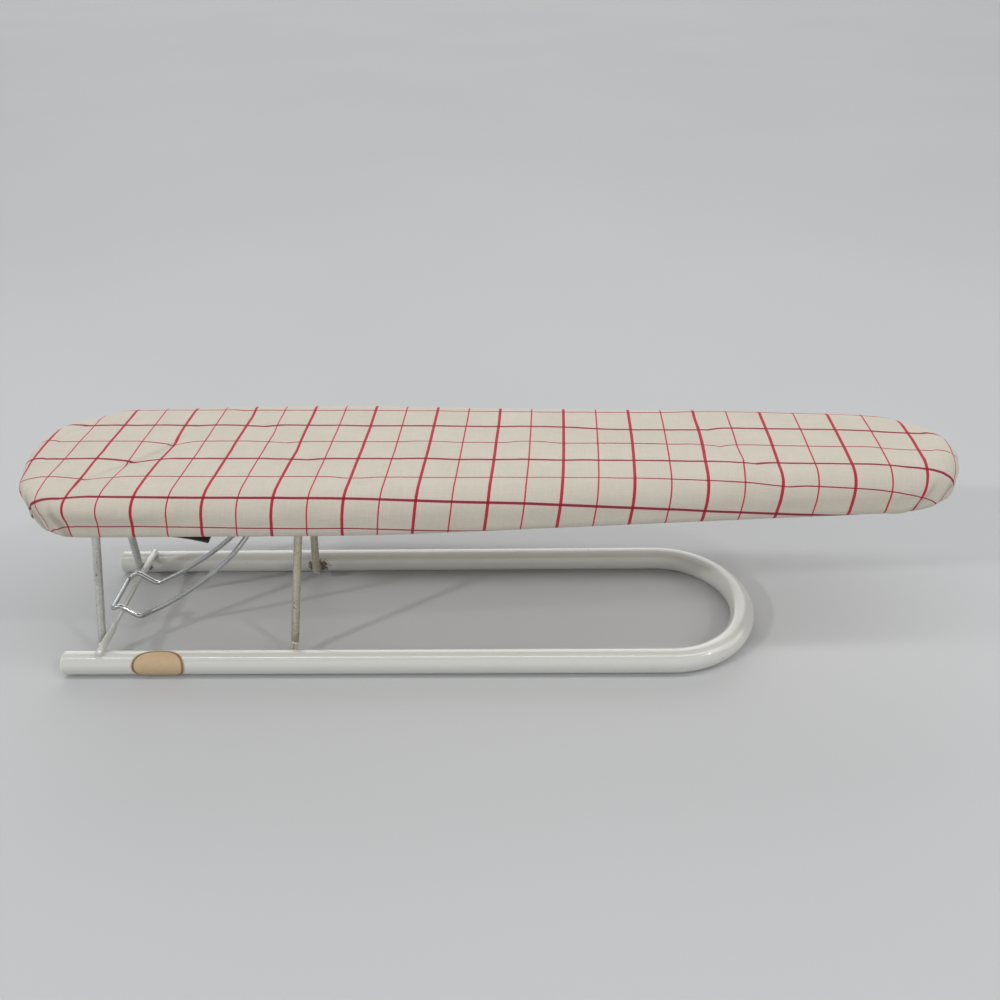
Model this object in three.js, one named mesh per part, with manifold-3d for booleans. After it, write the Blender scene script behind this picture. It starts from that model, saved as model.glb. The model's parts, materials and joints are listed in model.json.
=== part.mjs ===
import * as THREE from 'three';
import { mergeVertices } from 'three/addons/utils/BufferGeometryUtils.js';
import Module from 'manifold-3d';

// Tabletop ironing board: a padded, cloth covered plank carried over a bent tube base by two
// wire bails that fold to the left, and a spring wire latch that hooks over the cross rod.
// Millimetres, +Z up, +X towards the narrow nose, -Y is the front.
// X is measured from the capped open end of the base until the last lines centre the model.

// Fits shared by all pieces
const clearance = 0.3;
const cutOverrun = 2;

// Base tube, end caps and cross rod
const tubeDiameter = 15;
const tubeWall = 1;
const baseSpan = 103;
const baseReach = 378;
const baseStart = 1.6;
const capDome = 2.2;
const capSpigot = 14;
const rodEndDiameter = 4.6;
const rodEndLength = 24.5;
const rodDiameter = 2.8;
const rodTaper = 4;
const rodOverhang = 3;
const rodRearOverhang = 0.4;
const rodSink = 1;

// Paper label, left blank, on the front run of the tube
const labelStart = 47;
const labelLength = 33;
const labelThickness = 0.2;
const labelTopAngle = 108;
const labelBottomAngle = -64;

// Wire bails
const bailWire = 5;
const leftFootX = 20.6;
const bailPitch = 122.9;
const footHeight = 8.3;
const footStandOff = 7.7;
const footReach = 8;
const footBend = 4.2;
const legLean = 12.4;
const bailTopWidth = 34;
const bailTopBend = 5;

// Plank, felt and cloth cover
const plankHeight = 107;
const plankThickness = 16;
const plankBevel = 1.5;
const plankLeft = -4.4;
const plankLength = 541.3;
const plankWidth = 111;
const heelDepth = 47.5;
const taperStart = 178;
const taperBlend = 60;
const noseWidth = 76;
const noseDepth = 45.9;
const feltThickness = 6.2;
const feltSide = 1.6;
const feltShoulder = 13;
const clothThickness = 0.9;
const hemWidth = 18;
const clothEdgeRadius = 2.8;

// Latch wire and its bracket
const latchWire = 3.2;
const latchWidth = 34.2;
const lipBehindRod = 4.5;
const lipAboveRod = 4.6;
const crestAheadOfRod = 1.5;
const crestAboveRod = 8.3;
const dipAheadOfRod = 13;
const dipBelowRod = 1.5;
const crestBend = 4;
const dipBend = 5;
const cornerBend = 4;
const armBow = 9.2;
const pivotBend = 2.6;
const pivotBehindBail = 16.9;
const pivotBelowPlank = 4.5;
const pivotArmWidth = 12;
const pivotTail = 1.2;
const bracketEarSpan = 16.8;
const bracketSheet = 1.2;
const bracketDepth = 9;
const bracketEarEdge = 3.4;
const bracketFlange = 8.4;

// Bail clips and the screws
const clipSheet = 1.2;
const clipWidth = 8;
const clipOffset = 7;
const clipFlange = 7.5;
const screwHeadRadius = 2.7;
const screwHeadHeight = 1.8;
const screwShankRadius = 1.5;
const screwLength = 12;
const screwSlotWidth = 0.8;
const screwSlotDepth = 0.8;
const screwDomeShares = { crownRadius: 0.6, crown: 0.9, rim: 0.35, taper: 0.7 };

const screwTurnStep = 2.3;

// Tacks along the hem, and the loose black tape under the front edge
const tackCount = 20;
const tackHeadRadius = 2.8;
const tackHeadHeight = 1;
const tackShankRadius = 0.6;
const tackLength = 9;
const tackShares = { crownRadius: 0.6, crown: 0.75, taper: 0.6 };
const tapeStart = 74;
const tapeLength = 38.5;
const tapeWidth = 14;
const tapeFromEdge = 1.5;
const tapeThickness = 0.9;
const tapeDroop = 3.2;
const tapeTackInset = 6;

// Worked out from the sizes above
const tubeRadius = tubeDiameter / 2;
const halfSpan = baseSpan / 2;
const bailRadius = bailWire / 2;
const latchRadius = latchWire / 2;
const rodEndRadius = rodEndDiameter / 2;
const rodHeight = tubeDiameter + rodEndRadius - rodSink;
const barHeight = plankHeight - clearance - bailRadius;
const legRise = barHeight - footHeight;
const leanAngle = Math.atan2(legLean, legRise);
const rightFootX = leftFootX + bailPitch;
const leftBarX = leftFootX + legLean;
const rightBarX = rightFootX + legLean;
// The left legs come to rest against the cross rod, which is what stops them leaning further.
const rodX = leftFootX + (legLean * (rodHeight - footHeight)) / legRise
  + (bailRadius + rodEndRadius + clearance) / Math.cos(leanAngle);
const pivotX = rightBarX - pivotBehindBail;
const pivotHeight = plankHeight - pivotBelowPlank;
const plankTop = plankHeight + plankThickness;
const feltBottom = plankTop + clearance;
const feltTop = feltBottom + feltThickness;
const clothInside = clearance;
const clothOutside = clearance + clothThickness;
const clothBottom = plankHeight - clothOutside;
const clipTop = plankHeight - clearance;

const curveSteps = { tubeBend: 32, wireBend: 5, crest: 4, arm: 9, heel: 22, nose: 18, shoulder: 5 };
const sides = { tube: 28, bore: 20, rod: 12, bail: 12, latch: 10, screw: 12, tack: 8, hole: 12 };

// Boolean cuts

const wasm = await Module();
wasm.setup();

function solidOf(geometry) {
  const bare = geometry.clone();
  bare.deleteAttribute('normal');
  bare.deleteAttribute('uv');
  const merged = mergeVertices(bare);
  const index = merged.index.array;
  const kept = [];
  for (let i = 0; i < index.length; i += 3) {
    const [a, b, c] = [index[i], index[i + 1], index[i + 2]];
    if (a !== b && b !== c && c !== a) kept.push(a, b, c);
  }
  return new wasm.Manifold(new wasm.Mesh({
    numProp: 3,
    vertProperties: new Float32Array(merged.attributes.position.array),
    triVerts: new Uint32Array(kept),
  }));
}

function geometryOf(solid) {
  const mesh = solid.getMesh();
  const geometry = new THREE.BufferGeometry();
  geometry.setAttribute('position', new THREE.BufferAttribute(mesh.vertProperties, 3));
  geometry.setIndex(new THREE.BufferAttribute(mesh.triVerts, 1));
  return geometry;
}

function cut(geometry, cutters) {
  let solid = solidOf(geometry);
  for (const cutter of cutters) solid = solid.subtract(solidOf(cutter));
  return geometryOf(solid);
}

function join(geometries) {
  let solid = solidOf(geometries[0]);
  for (const geometry of geometries.slice(1)) solid = solid.add(solidOf(geometry));
  return geometryOf(solid);
}

// Sweeps along straight runs and round bends

class StationPath extends THREE.Curve {
  constructor(stations) {
    super();
    this.stations = stations;
    this.runs = stations.slice(1).map((p, i) => p.clone().sub(stations[i]).normalize());
  }

  getUtoTmapping(u) {
    return u;
  }

  getPoint(t) {
    const place = t * (this.stations.length - 1);
    const i = Math.min(Math.floor(place), this.stations.length - 2);
    return this.stations[i].clone().lerp(this.stations[i + 1], place - i);
  }

  getTangent(t) {
    const last = this.runs.length - 1;
    const i = Math.round(t * this.runs.length);
    const before = this.runs[Math.max(i - 1, 0)];
    const after = this.runs[Math.min(i, last)];
    return before.clone().add(after).normalize();
  }
}

// A polygon whose flats touch the circle, with one flat facing each axis of the section.
function roundSection(radius, count) {
  const shape = new THREE.Shape();
  const corner = radius / Math.cos(Math.PI / count);
  for (let i = 0; i < count; i++) {
    const angle = ((i + 0.5) * 2 * Math.PI) / count;
    const point = [corner * Math.cos(angle), corner * Math.sin(angle)];
    if (i === 0) shape.moveTo(...point);
    else shape.lineTo(...point);
  }
  shape.closePath();
  return shape;
}

function sweep(stations, radius, count) {
  return new THREE.ExtrudeGeometry(roundSection(radius, count), {
    steps: stations.length - 1,
    extrudePath: new StationPath(stations),
    bevelEnabled: false,
  });
}

function bendAt(before, corner, after, radius, steps) {
  const a = before.clone().sub(corner).normalize();
  const b = after.clone().sub(corner).normalize();
  const half = a.angleTo(b) / 2;
  const centre = a.clone().add(b).normalize().multiplyScalar(radius / Math.sin(half)).add(corner);
  const first = corner.clone().addScaledVector(a, radius / Math.tan(half)).sub(centre);
  const last = corner.clone().addScaledVector(b, radius / Math.tan(half)).sub(centre);
  const axis = first.clone().cross(last).normalize();
  const sweepAngle = first.angleTo(last);
  const points = [];
  for (let i = 0; i <= steps; i++) {
    points.push(first.clone().applyAxisAngle(axis, (sweepAngle * i) / steps).add(centre));
  }
  return points;
}

// Corners are [point] for a plain station, or [point, radius, steps] for a rounded one.
function bentPath(corners) {
  const stations = [];
  corners.forEach(([point, radius, steps], i) => {
    if (!radius) stations.push(point);
    else stations.push(...bendAt(corners[i - 1][0], point, corners[i + 1][0], radius, steps));
  });
  return stations;
}

const at = (x, y, z) => new THREE.Vector3(x, y, z);

// Rings of points joined into one closed skin, with a fan over the first and the last ring.
function loft(rings) {
  const count = rings[0].length;
  const points = rings.flat();
  const index = [];
  for (let r = 0; r + 1 < rings.length; r++) {
    for (let i = 0; i < count; i++) {
      const a = r * count + i;
      const b = r * count + ((i + 1) % count);
      index.push(a, b, b + count, a, b + count, a + count);
    }
  }
  const lastStart = (rings.length - 1) * count;
  for (const [ring, start, facing] of [[rings[0], 0, -1], [rings.at(-1), lastStart, 1]]) {
    const middle = ring.reduce((sum, p) => sum.add(p), at(0, 0, 0)).divideScalar(count);
    const hub = points.push(middle) - 1;
    for (let i = 0; i < count; i++) {
      const [a, b] = [start + i, start + ((i + 1) % count)];
      index.push(...(facing > 0 ? [a, b, hub] : [b, a, hub]));
    }
  }
  const geometry = new THREE.BufferGeometry().setFromPoints(points);
  geometry.setIndex(index);
  return geometry;
}

function straightBar(start, end, radius, count) {
  return sweep([start, end], radius, count);
}

// Base

function uPath() {
  const stations = [at(baseStart + capDome + clearance, -halfSpan, tubeRadius)];
  for (let i = 0; i <= curveSteps.tubeBend; i++) {
    const angle = (Math.PI * i) / curveSteps.tubeBend - Math.PI / 2;
    stations.push(at(
      baseReach + halfSpan * Math.cos(angle),
      halfSpan * Math.sin(angle),
      tubeRadius,
    ));
  }
  stations.push(at(baseStart + capDome + clearance, halfSpan, tubeRadius));
  return stations;
}

function borePath() {
  const stations = uPath();
  stations[0].x -= cutOverrun;
  stations.at(-1).x -= cutOverrun;
  return stations;
}

function baseTube() {
  const footHoles = [];
  for (const x of [leftFootX, rightFootX]) {
    for (const side of [-1, 1]) {
      footHoles.push(straightBar(
        at(x, side * (halfSpan - tubeRadius - cutOverrun), footHeight),
        at(x, side * halfSpan, footHeight),
        bailRadius + clearance,
        sides.hole,
      ));
    }
  }
  const outer = sweep(uPath(), tubeRadius, sides.tube);
  const bore = sweep(borePath(), tubeRadius - tubeWall, sides.bore);
  return cut(outer, [bore, ...footHoles]);
}

function endCap(side) {
  const spigot = tubeRadius - tubeWall - clearance;
  const profile = [new THREE.Vector2(0, 0)];
  const domeSteps = 4;
  for (let i = 0; i <= domeSteps; i++) {
    const angle = (Math.PI / 2) * (i / domeSteps);
    const flatShare = 0.45;
    const r = tubeRadius * (flatShare + (1 - flatShare) * Math.sin(angle));
    profile.push(new THREE.Vector2(r, capDome * (1 - Math.cos(angle))));
  }
  profile.push(new THREE.Vector2(spigot, capDome));
  profile.push(new THREE.Vector2(spigot, capDome + capSpigot));
  profile.push(new THREE.Vector2(0, capDome + capSpigot));
  const geometry = new THREE.LatheGeometry(profile, sides.bore);
  geometry.rotateZ(-Math.PI / 2);
  geometry.translate(baseStart, side * halfSpan, tubeRadius);
  return geometry;
}

// A thin rod with thicker ends, which sit in saddles on top of the two runs of the tube.
function crossRod() {
  const end = halfSpan + rodOverhang;
  const rearEnd = halfSpan + rodRearOverhang;
  const thick = end - rodEndLength;
  const profile = [
    new THREE.Vector2(0, -end),
    new THREE.Vector2(rodEndRadius, -end),
    new THREE.Vector2(rodEndRadius, -thick),
    new THREE.Vector2(rodDiameter / 2, -thick + rodTaper),
    new THREE.Vector2(rodDiameter / 2, thick - rodTaper),
    new THREE.Vector2(rodEndRadius, thick),
    new THREE.Vector2(rodEndRadius, rearEnd),
    new THREE.Vector2(0, rearEnd),
  ];
  const body = new THREE.LatheGeometry(profile, sides.rod);
  body.translate(rodX, 0, rodHeight);
  return cut(body, [-1, 1].map((side) => straightBar(
    at(rodX - tubeDiameter, side * halfSpan, tubeRadius),
    at(rodX + tubeDiameter, side * halfSpan, tubeRadius),
    tubeRadius + clearance,
    sides.tube,
  )));
}

// An oval of paper wrapped over the tube from near its top to below its front.
function paperLabel() {
  const rows = 12;
  const columns = 10;
  const inner = tubeRadius + clearance;
  const middleX = labelStart + labelLength / 2;
  const ovalPower = 3;
  const startShare = 0.04;
  const rings = [];
  for (let row = 0; row <= rows; row++) {
    const share = startShare + ((1 - 2 * startShare) * row) / rows;
    const angle = THREE.MathUtils.degToRad(
      THREE.MathUtils.lerp(labelTopAngle, labelBottomAngle, share),
    );
    const off = Math.abs(2 * share - 1);
    const reach = (labelLength / 2) * (1 - off ** ovalPower) ** (1 / ovalPower);
    const place = (x, radius) => at(
      middleX + x,
      -halfSpan - radius * Math.cos(angle),
      tubeRadius + radius * Math.sin(angle),
    );
    const ring = [];
    for (let i = 0; i <= columns; i++) ring.push(place(reach * ((2 * i) / columns - 1), inner));
    for (let i = columns; i >= 0; i--) {
      ring.push(place(reach * ((2 * i) / columns - 1), inner + labelThickness));
    }
    rings.push(ring);
  }
  return loft(rings);
}

// Bails

function bail(footX) {
  const barX = footX + legLean;
  const legFoot = halfSpan - tubeRadius - footStandOff;
  const pinEnd = halfSpan - tubeRadius + footReach;
  const barHalf = bailTopWidth / 2;
  return sweep(bentPath([
    [at(footX, -pinEnd, footHeight)],
    [at(footX, -legFoot, footHeight), footBend, curveSteps.wireBend],
    [at(barX, -barHalf, barHeight), bailTopBend, curveSteps.wireBend],
    [at(barX, barHalf, barHeight), bailTopBend, curveSteps.wireBend],
    [at(footX, legFoot, footHeight), footBend, curveSteps.wireBend],
    [at(footX, pinEnd, footHeight)],
  ]), bailRadius, sides.bail);
}

// Plank, felt and cover share one outline, as half ellipses joined by straight and tapering sides.

const noseX = plankLeft + plankLength - noseDepth;
const heelX = plankLeft + heelDepth;

function halfWidthAt(x) {
  const drop = (plankWidth - noseWidth) / 2;
  const run = noseX - taperStart - taperBlend / 2;
  const past = Math.max(x - taperStart, 0);
  const eased = past < taperBlend ? (past * past) / (2 * taperBlend) : past - taperBlend / 2;
  return plankWidth / 2 - (drop * eased) / run;
}

function outlinePoints() {
  const points = [];
  for (let i = 0; i < curveSteps.heel; i++) {
    const angle = Math.PI / 2 + (Math.PI * i) / curveSteps.heel;
    points.push([heelX + heelDepth * Math.cos(angle), (plankWidth / 2) * Math.sin(angle)]);
  }
  const sideShares = [0, 0.13, 0.26, 0.34, 0.42, 0.52, 0.68, 0.84];
  const sideX = sideShares.map((share) => heelX + (noseX - heelX) * share);
  for (const x of sideX) points.push([x, -halfWidthAt(x)]);
  for (let i = 0; i <= curveSteps.nose; i++) {
    const angle = -Math.PI / 2 + (Math.PI * i) / curveSteps.nose;
    points.push([noseX + noseDepth * Math.cos(angle), (noseWidth / 2) * Math.sin(angle)]);
  }
  for (const x of sideX.slice(1).reverse()) points.push([x, halfWidthAt(x)]);
  return points.map(([x, y]) => new THREE.Vector2(x, y));
}

const outline = outlinePoints();
const outwards = outline.map((point, i) => {
  const before = outline.at(i - 1);
  const after = outline[(i + 1) % outline.length];
  const along = point.clone().sub(before).normalize().add(after.clone().sub(point).normalize());
  return new THREE.Vector2(along.y, -along.x).normalize();
});

function ringAt(inset, z) {
  return outline.map((p, i) => at(p.x - outwards[i].x * inset, p.y - outwards[i].y * inset, z));
}

// A ring drawn in towards the middle line of the board, for the nearly flat top.
function innerRing(inset, keepShare, z) {
  return ringAt(inset, z).map((p) => {
    const spine = THREE.MathUtils.clamp(p.x, heelX, noseX);
    return at(spine + (p.x - spine) * keepShare, p.y * keepShare, z);
  });
}

// The rounded shoulder of the padding, moved outwards by an offset.
function shoulderRings(offset) {
  const drop = feltTop - feltBottom - feltSide;
  const rings = [];
  for (let i = 0; i <= curveSteps.shoulder; i++) {
    const angle = (Math.PI / 2) * (i / curveSteps.shoulder);
    rings.push(ringAt(
      (feltShoulder + offset) * (1 - Math.cos(angle)) - offset,
      feltTop + offset - (drop + offset) * (1 - Math.sin(angle)),
    ));
  }
  const innerShare = 0.5;
  rings.push(innerRing(feltShoulder, innerShare, feltTop + offset));
  return rings;
}

function screwPlaces() {
  const places = [];
  for (const barX of [leftBarX, rightBarX]) {
    for (const y of [-clipOffset, clipOffset]) {
      for (const side of [-1, 1]) {
        const flangeMiddle = bailRadius + clearance + clipSheet + clipFlange / 2;
        places.push([barX + side * flangeMiddle, y]);
      }
    }
  }
  return places;
}

function bracketScrewPlaces() {
  const y = bracketEarSpan / 2 + bracketSheet + bracketFlange - screwHeadRadius - clearance;
  return [[pivotX, -y], [pivotX, y]];
}

function tackPlaces() {
  const ring = ringAt(hemWidth + tackShankRadius + clearance, plankHeight);
  const lengths = ring.map((p, i) => p.distanceTo(ring[(i + 1) % ring.length]));
  const total = lengths.reduce((sum, length) => sum + length, 0);
  const places = [];
  for (let n = 0; n < tackCount; n++) {
    let left = (total * (n + 0.5)) / tackCount;
    let i = 0;
    while (left > lengths[i]) left -= lengths[i++];
    const p = ring[i].clone().lerp(ring[(i + 1) % ring.length], left / lengths[i]);
    places.push([p.x, p.y]);
  }
  return places;
}

function tapeTackPlace() {
  return [tapeStart + tapeTackInset, tapeFront() + tapeWidth / 2];
}

function tapeFront() {
  return -(plankWidth / 2) + tapeFromEdge;
}

function pilotHole([x, y], shankRadius, depth) {
  return straightBar(
    at(x, y, plankHeight - cutOverrun),
    at(x, y, plankHeight + depth + clearance),
    shankRadius + clearance,
    sides.tack,
  );
}

function plank() {
  const body = loft([
    ringAt(plankBevel, plankHeight),
    ringAt(0, plankHeight + plankBevel),
    ringAt(0, plankTop - plankBevel),
    ringAt(plankBevel, plankTop),
  ]);
  const screwDepth = screwLength - clipSheet;
  const tackDepth = tackLength - clothThickness;
  return cut(body, [
    ...screwPlaces().map((place) => pilotHole(place, screwShankRadius, screwDepth)),
    ...bracketScrewPlaces().map((place) => pilotHole(place, screwShankRadius, screwDepth)),
    ...tackPlaces().map((place) => pilotHole(place, tackShankRadius, tackDepth)),
    pilotHole(tapeTackPlace(), tackShankRadius, tackDepth),
  ]);
}

function felt() {
  return loft([ringAt(0, feltBottom), ...shoulderRings(0)]);
}

// The cloth is one thin skin: over the felt, down the sides and under the plank to its raw edge.
function clothCover() {
  const edgeSteps = 3;
  const foldRings = (offset, radius) => {
    const rings = [];
    for (let i = 0; i <= edgeSteps; i++) {
      const angle = (Math.PI / 2) * (i / edgeSteps);
      rings.push(ringAt(
        radius * (1 - Math.sin(angle)) - offset,
        plankHeight - offset + radius * (1 - Math.cos(angle)),
      ));
    }
    return rings;
  };
  const insideFold = clothEdgeRadius - clothThickness;
  const body = loft([
    ...shoulderRings(clothInside).reverse(),
    ...foldRings(clothInside, insideFold).reverse(),
    ringAt(hemWidth, plankHeight - clothInside),
    ringAt(hemWidth, clothBottom),
    ...foldRings(clothOutside, clothEdgeRadius),
    ...shoulderRings(clothOutside),
  ]);
  const [x, y] = tapeTackPlace();
  const tackHole = straightBar(
    at(x, y, clothBottom - cutOverrun),
    at(x, y, plankHeight),
    tackShankRadius + clearance,
    sides.tack,
  );
  return cut(body, [tackHole]);
}

function tack([x, y], seat) {
  const profile = [
    new THREE.Vector2(0, -tackHeadHeight),
    new THREE.Vector2(tackHeadRadius * tackShares.crownRadius, -tackHeadHeight * tackShares.crown),
    new THREE.Vector2(tackHeadRadius, 0),
    new THREE.Vector2(tackShankRadius, 0),
    new THREE.Vector2(tackShankRadius, tackLength * tackShares.taper),
    new THREE.Vector2(0, tackLength),
  ];
  const geometry = new THREE.LatheGeometry(profile, sides.tack);
  geometry.rotateX(Math.PI / 2);
  geometry.translate(x, y, seat);
  return geometry;
}

function coverTacks() {
  const seat = clothBottom - clearance;
  return tackPlaces().map((place) => tack(place, seat));
}

// A short end of tape, tacked under the front edge and drooping towards its cut end.
function tapeHeight(x) {
  const flatShare = 0.4;
  const share = (x - tapeStart) / tapeLength;
  const past = Math.max(share - flatShare, 0) / (1 - flatShare);
  return clothBottom - clearance - tapeThickness - tapeDroop * past ** 1.5;
}

function blackTape() {
  const steps = 10;
  const rings = [];
  for (let i = 0; i <= steps; i++) {
    const x = tapeStart + (tapeLength * i) / steps;
    const [low, front] = [tapeHeight(x), tapeFront()];
    rings.push([
      at(x, front, low),
      at(x, front + tapeWidth, low),
      at(x, front + tapeWidth, low + tapeThickness),
      at(x, front, low + tapeThickness),
    ]);
  }
  const [x, y] = tapeTackPlace();
  const tackHole = straightBar(
    at(x, y, clothBottom - tapeThickness - cutOverrun),
    at(x, y, clothBottom),
    tackShankRadius + clearance,
    sides.tack,
  );
  return cut(loft(rings), [tackHole]);
}

function tapeTack() {
  return tack(tapeTackPlace(), clothBottom - tapeThickness - 2 * clearance);
}

// Bail clips: a strap folded round the bar, with a screwed flange on each side

function bailClip(barX, middleY) {
  const inner = bailRadius + clearance;
  const outer = inner + clipSheet;
  const reach = outer + clipFlange;
  const under = clipTop - clipSheet;
  const shape = new THREE.Shape();
  shape.moveTo(-reach, clipTop);
  shape.lineTo(-reach, under);
  shape.lineTo(-outer, under);
  shape.absarc(0, barHeight, outer, Math.PI, 2 * Math.PI, false);
  shape.lineTo(outer, under);
  shape.lineTo(reach, under);
  shape.lineTo(reach, clipTop);
  shape.lineTo(inner, clipTop);
  shape.absarc(0, barHeight, inner, 2 * Math.PI, Math.PI, true);
  shape.lineTo(-inner, clipTop);
  shape.closePath();
  const strap = new THREE.ExtrudeGeometry(shape, {
    depth: clipWidth,
    bevelEnabled: false,
    curveSegments: 8,
  });
  strap.rotateX(Math.PI / 2);
  strap.translate(barX, middleY + clipWidth / 2, 0);
  const flangeMiddle = outer + clipFlange / 2;
  return cut(strap, [-1, 1].map((side) => straightBar(
    at(barX + side * flangeMiddle, middleY, under - cutOverrun),
    at(barX + side * flangeMiddle, middleY, clipTop + cutOverrun),
    screwShankRadius + clearance,
    sides.hole,
  )));
}

// A slotted round head screw, whose slot is left at a different angle on each one.
function screw([x, y], seat, number) {
  const shares = screwDomeShares;
  const profile = [
    new THREE.Vector2(0, -screwHeadHeight),
    new THREE.Vector2(screwHeadRadius * shares.crownRadius, -screwHeadHeight * shares.crown),
    new THREE.Vector2(screwHeadRadius, -screwHeadHeight * shares.rim),
    new THREE.Vector2(screwHeadRadius, 0),
    new THREE.Vector2(screwShankRadius, 0),
    new THREE.Vector2(screwShankRadius, screwLength * shares.taper),
    new THREE.Vector2(0, screwLength),
  ];
  const body = new THREE.LatheGeometry(profile, sides.screw);
  body.rotateX(Math.PI / 2);
  const slot = new THREE.BoxGeometry(
    2 * (screwHeadRadius + cutOverrun),
    screwSlotWidth,
    2 * screwSlotDepth,
  );
  slot.translate(0, 0, -screwHeadHeight);
  const slotted = cut(body, [slot]);
  slotted.rotateZ(screwTurnStep * number);
  slotted.translate(x, y, seat);
  return slotted;
}

function clipScrews() {
  const seat = clipTop - clipSheet - clearance;
  return screwPlaces().map((place, i) => screw(place, seat, i));
}

function bracketScrews() {
  const seat = clipTop - bracketSheet - clearance;
  return bracketScrewPlaces().map((place, i) => screw(place, seat, i));
}

// Latch bracket: a flat plate with two ears bent down, each with a hole for one end of the wire

function latchBracket() {
  const plateHalf = bracketEarSpan / 2 + bracketSheet + bracketFlange;
  const plate = new THREE.BoxGeometry(bracketDepth, 2 * plateHalf, bracketSheet);
  plate.translate(pivotX, 0, clipTop - bracketSheet / 2);
  const earDrop = clipTop - pivotHeight;
  const ears = [-1, 1].map((side) => {
    const shape = new THREE.Shape();
    shape.moveTo(-bracketDepth / 2, earDrop);
    shape.lineTo(-bracketEarEdge, 0);
    shape.absarc(0, 0, bracketEarEdge, Math.PI, 2 * Math.PI, false);
    shape.lineTo(bracketDepth / 2, earDrop);
    shape.closePath();
    const ear = new THREE.ExtrudeGeometry(shape, {
      depth: bracketSheet,
      bevelEnabled: false,
      curveSegments: 8,
    });
    ear.rotateX(Math.PI / 2);
    const middleY = side * (bracketEarSpan + bracketSheet) / 2;
    ear.translate(pivotX, middleY + bracketSheet / 2, pivotHeight);
    return ear;
  });
  const pinHole = straightBar(
    at(pivotX, -plateHalf, pivotHeight),
    at(pivotX, plateHalf, pivotHeight),
    latchRadius + clearance,
    sides.hole,
  );
  const screwHoles = bracketScrewPlaces().map(([x, y]) => straightBar(
    at(x, y, clipTop - bracketSheet - cutOverrun),
    at(x, y, clipTop + cutOverrun),
    screwShankRadius + clearance,
    sides.hole,
  ));
  return cut(join([plate, ...ears]), [pinHole, ...screwHoles]);
}

// Latch: one spring wire from ear to ear, with a dip, a crest over the rod and a cross bar

function latchArm(side) {
  const dip = at(rodX + dipAheadOfRod, 0, rodHeight - dipBelowRod);
  const pivot = at(pivotX, 0, pivotHeight);
  const chord = pivot.clone().sub(dip);
  const bowWay = at(chord.z, 0, -chord.x).normalize();
  const [narrowStartShare, narrowEndShare, firstShare] = [0.64, 0.9, 0.12];
  const points = [];
  for (let i = 0; i <= curveSteps.arm; i++) {
    const share = THREE.MathUtils.lerp(firstShare, 1, i / curveSteps.arm);
    const point = dip.clone().addScaledVector(chord, share);
    point.addScaledVector(bowWay, 4 * armBow * share * (1 - share));
    const narrow = THREE.MathUtils.smoothstep(share, narrowStartShare, narrowEndShare);
    point.y = side * THREE.MathUtils.lerp(latchWidth / 2, pivotArmWidth / 2, narrow);
    points.push(point);
  }
  return points;
}

function latchSide(side) {
  const half = side * latchWidth / 2;
  const arm = latchArm(side);
  const tail = at(
    pivotX,
    side * (bracketEarSpan / 2 + bracketSheet + pivotTail),
    pivotHeight,
  );
  return [
    [tail],
    [arm.at(-1), pivotBend, curveSteps.wireBend],
    ...arm.slice(0, -1).reverse().map((point) => [point]),
    [at(rodX + dipAheadOfRod, half, rodHeight - dipBelowRod), dipBend, curveSteps.crest],
    [at(rodX + crestAheadOfRod, half, rodHeight + crestAboveRod), crestBend, curveSteps.crest],
    [at(rodX - lipBehindRod, half, rodHeight + lipAboveRod), cornerBend, curveSteps.wireBend],
  ];
}

function latch() {
  return sweep(
    bentPath([...latchSide(-1), ...latchSide(1).reverse()]),
    latchRadius,
    sides.latch,
  );
}

// Finishes

function finish(colour, roughness, metalness) {
  return new THREE.MeshStandardMaterial({ color: colour, roughness, metalness });
}

const whiteEnamel = finish(0xe4e4e2, 0.3, 0);
const whitePlastic = finish(0xdddddb, 0.45, 0);
const zincWire = finish(0x9a9d98, 0.45, 0.9);
const agedZinc = finish(0x94907a, 0.5, 0.85);
const brightWire = finish(0xb4b8ba, 0.25, 1);
const steelSheet = finish(0x8d9092, 0.4, 0.9);
const steelScrew = finish(0x777a7c, 0.35, 0.9);
const blueTack = finish(0x3b3f47, 0.4, 0.9);
const beech = finish(0xc9a878, 0.7, 0);
const greyFelt = finish(0xb9b4aa, 0.95, 0);
const creamCotton = finish(0xd6cfbf, 0.9, 0);
const blackWebbing = finish(0x1c1b1c, 0.8, 0);
const tanPaper = finish(0xcfae80, 0.8, 0);

function piece(name, geometry, material) {
  const mesh = new THREE.Mesh(geometry, material);
  mesh.name = name;
  return mesh;
}

function pieces(name, geometries, material) {
  return geometries.map((geometry, i) => piece(`${name}_${i + 1}`, geometry, material));
}

const base = new THREE.Group().add(
  piece('base_tube', baseTube(), whiteEnamel),
  piece('front_end_cap', endCap(-1), whitePlastic),
  piece('rear_end_cap', endCap(1), whitePlastic),
  piece('cross_rod', crossRod(), whiteEnamel),
  piece('paper_label', paperLabel(), tanPaper),
);

const bails = new THREE.Group().add(
  piece('left_bail', bail(leftFootX), zincWire),
  piece('right_bail', bail(rightFootX), agedZinc),
);

const board = new THREE.Group().add(
  piece('wooden_plank', plank(), beech),
  piece('felt_pad', felt(), greyFelt),
  piece('cloth_cover', clothCover(), creamCotton),
  ...pieces('cover_tack', coverTacks(), blueTack),
  piece('black_tape', blackTape(), blackWebbing),
  piece('tape_tack', tapeTack(), blueTack),
  piece('left_front_clip', bailClip(leftBarX, -clipOffset), steelSheet),
  piece('left_rear_clip', bailClip(leftBarX, clipOffset), steelSheet),
  piece('right_front_clip', bailClip(rightBarX, -clipOffset), steelSheet),
  piece('right_rear_clip', bailClip(rightBarX, clipOffset), steelSheet),
  ...pieces('clip_screw', clipScrews(), steelScrew),
  piece('latch_bracket', latchBracket(), steelSheet),
  ...pieces('bracket_screw', bracketScrews(), steelScrew),
);

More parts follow.
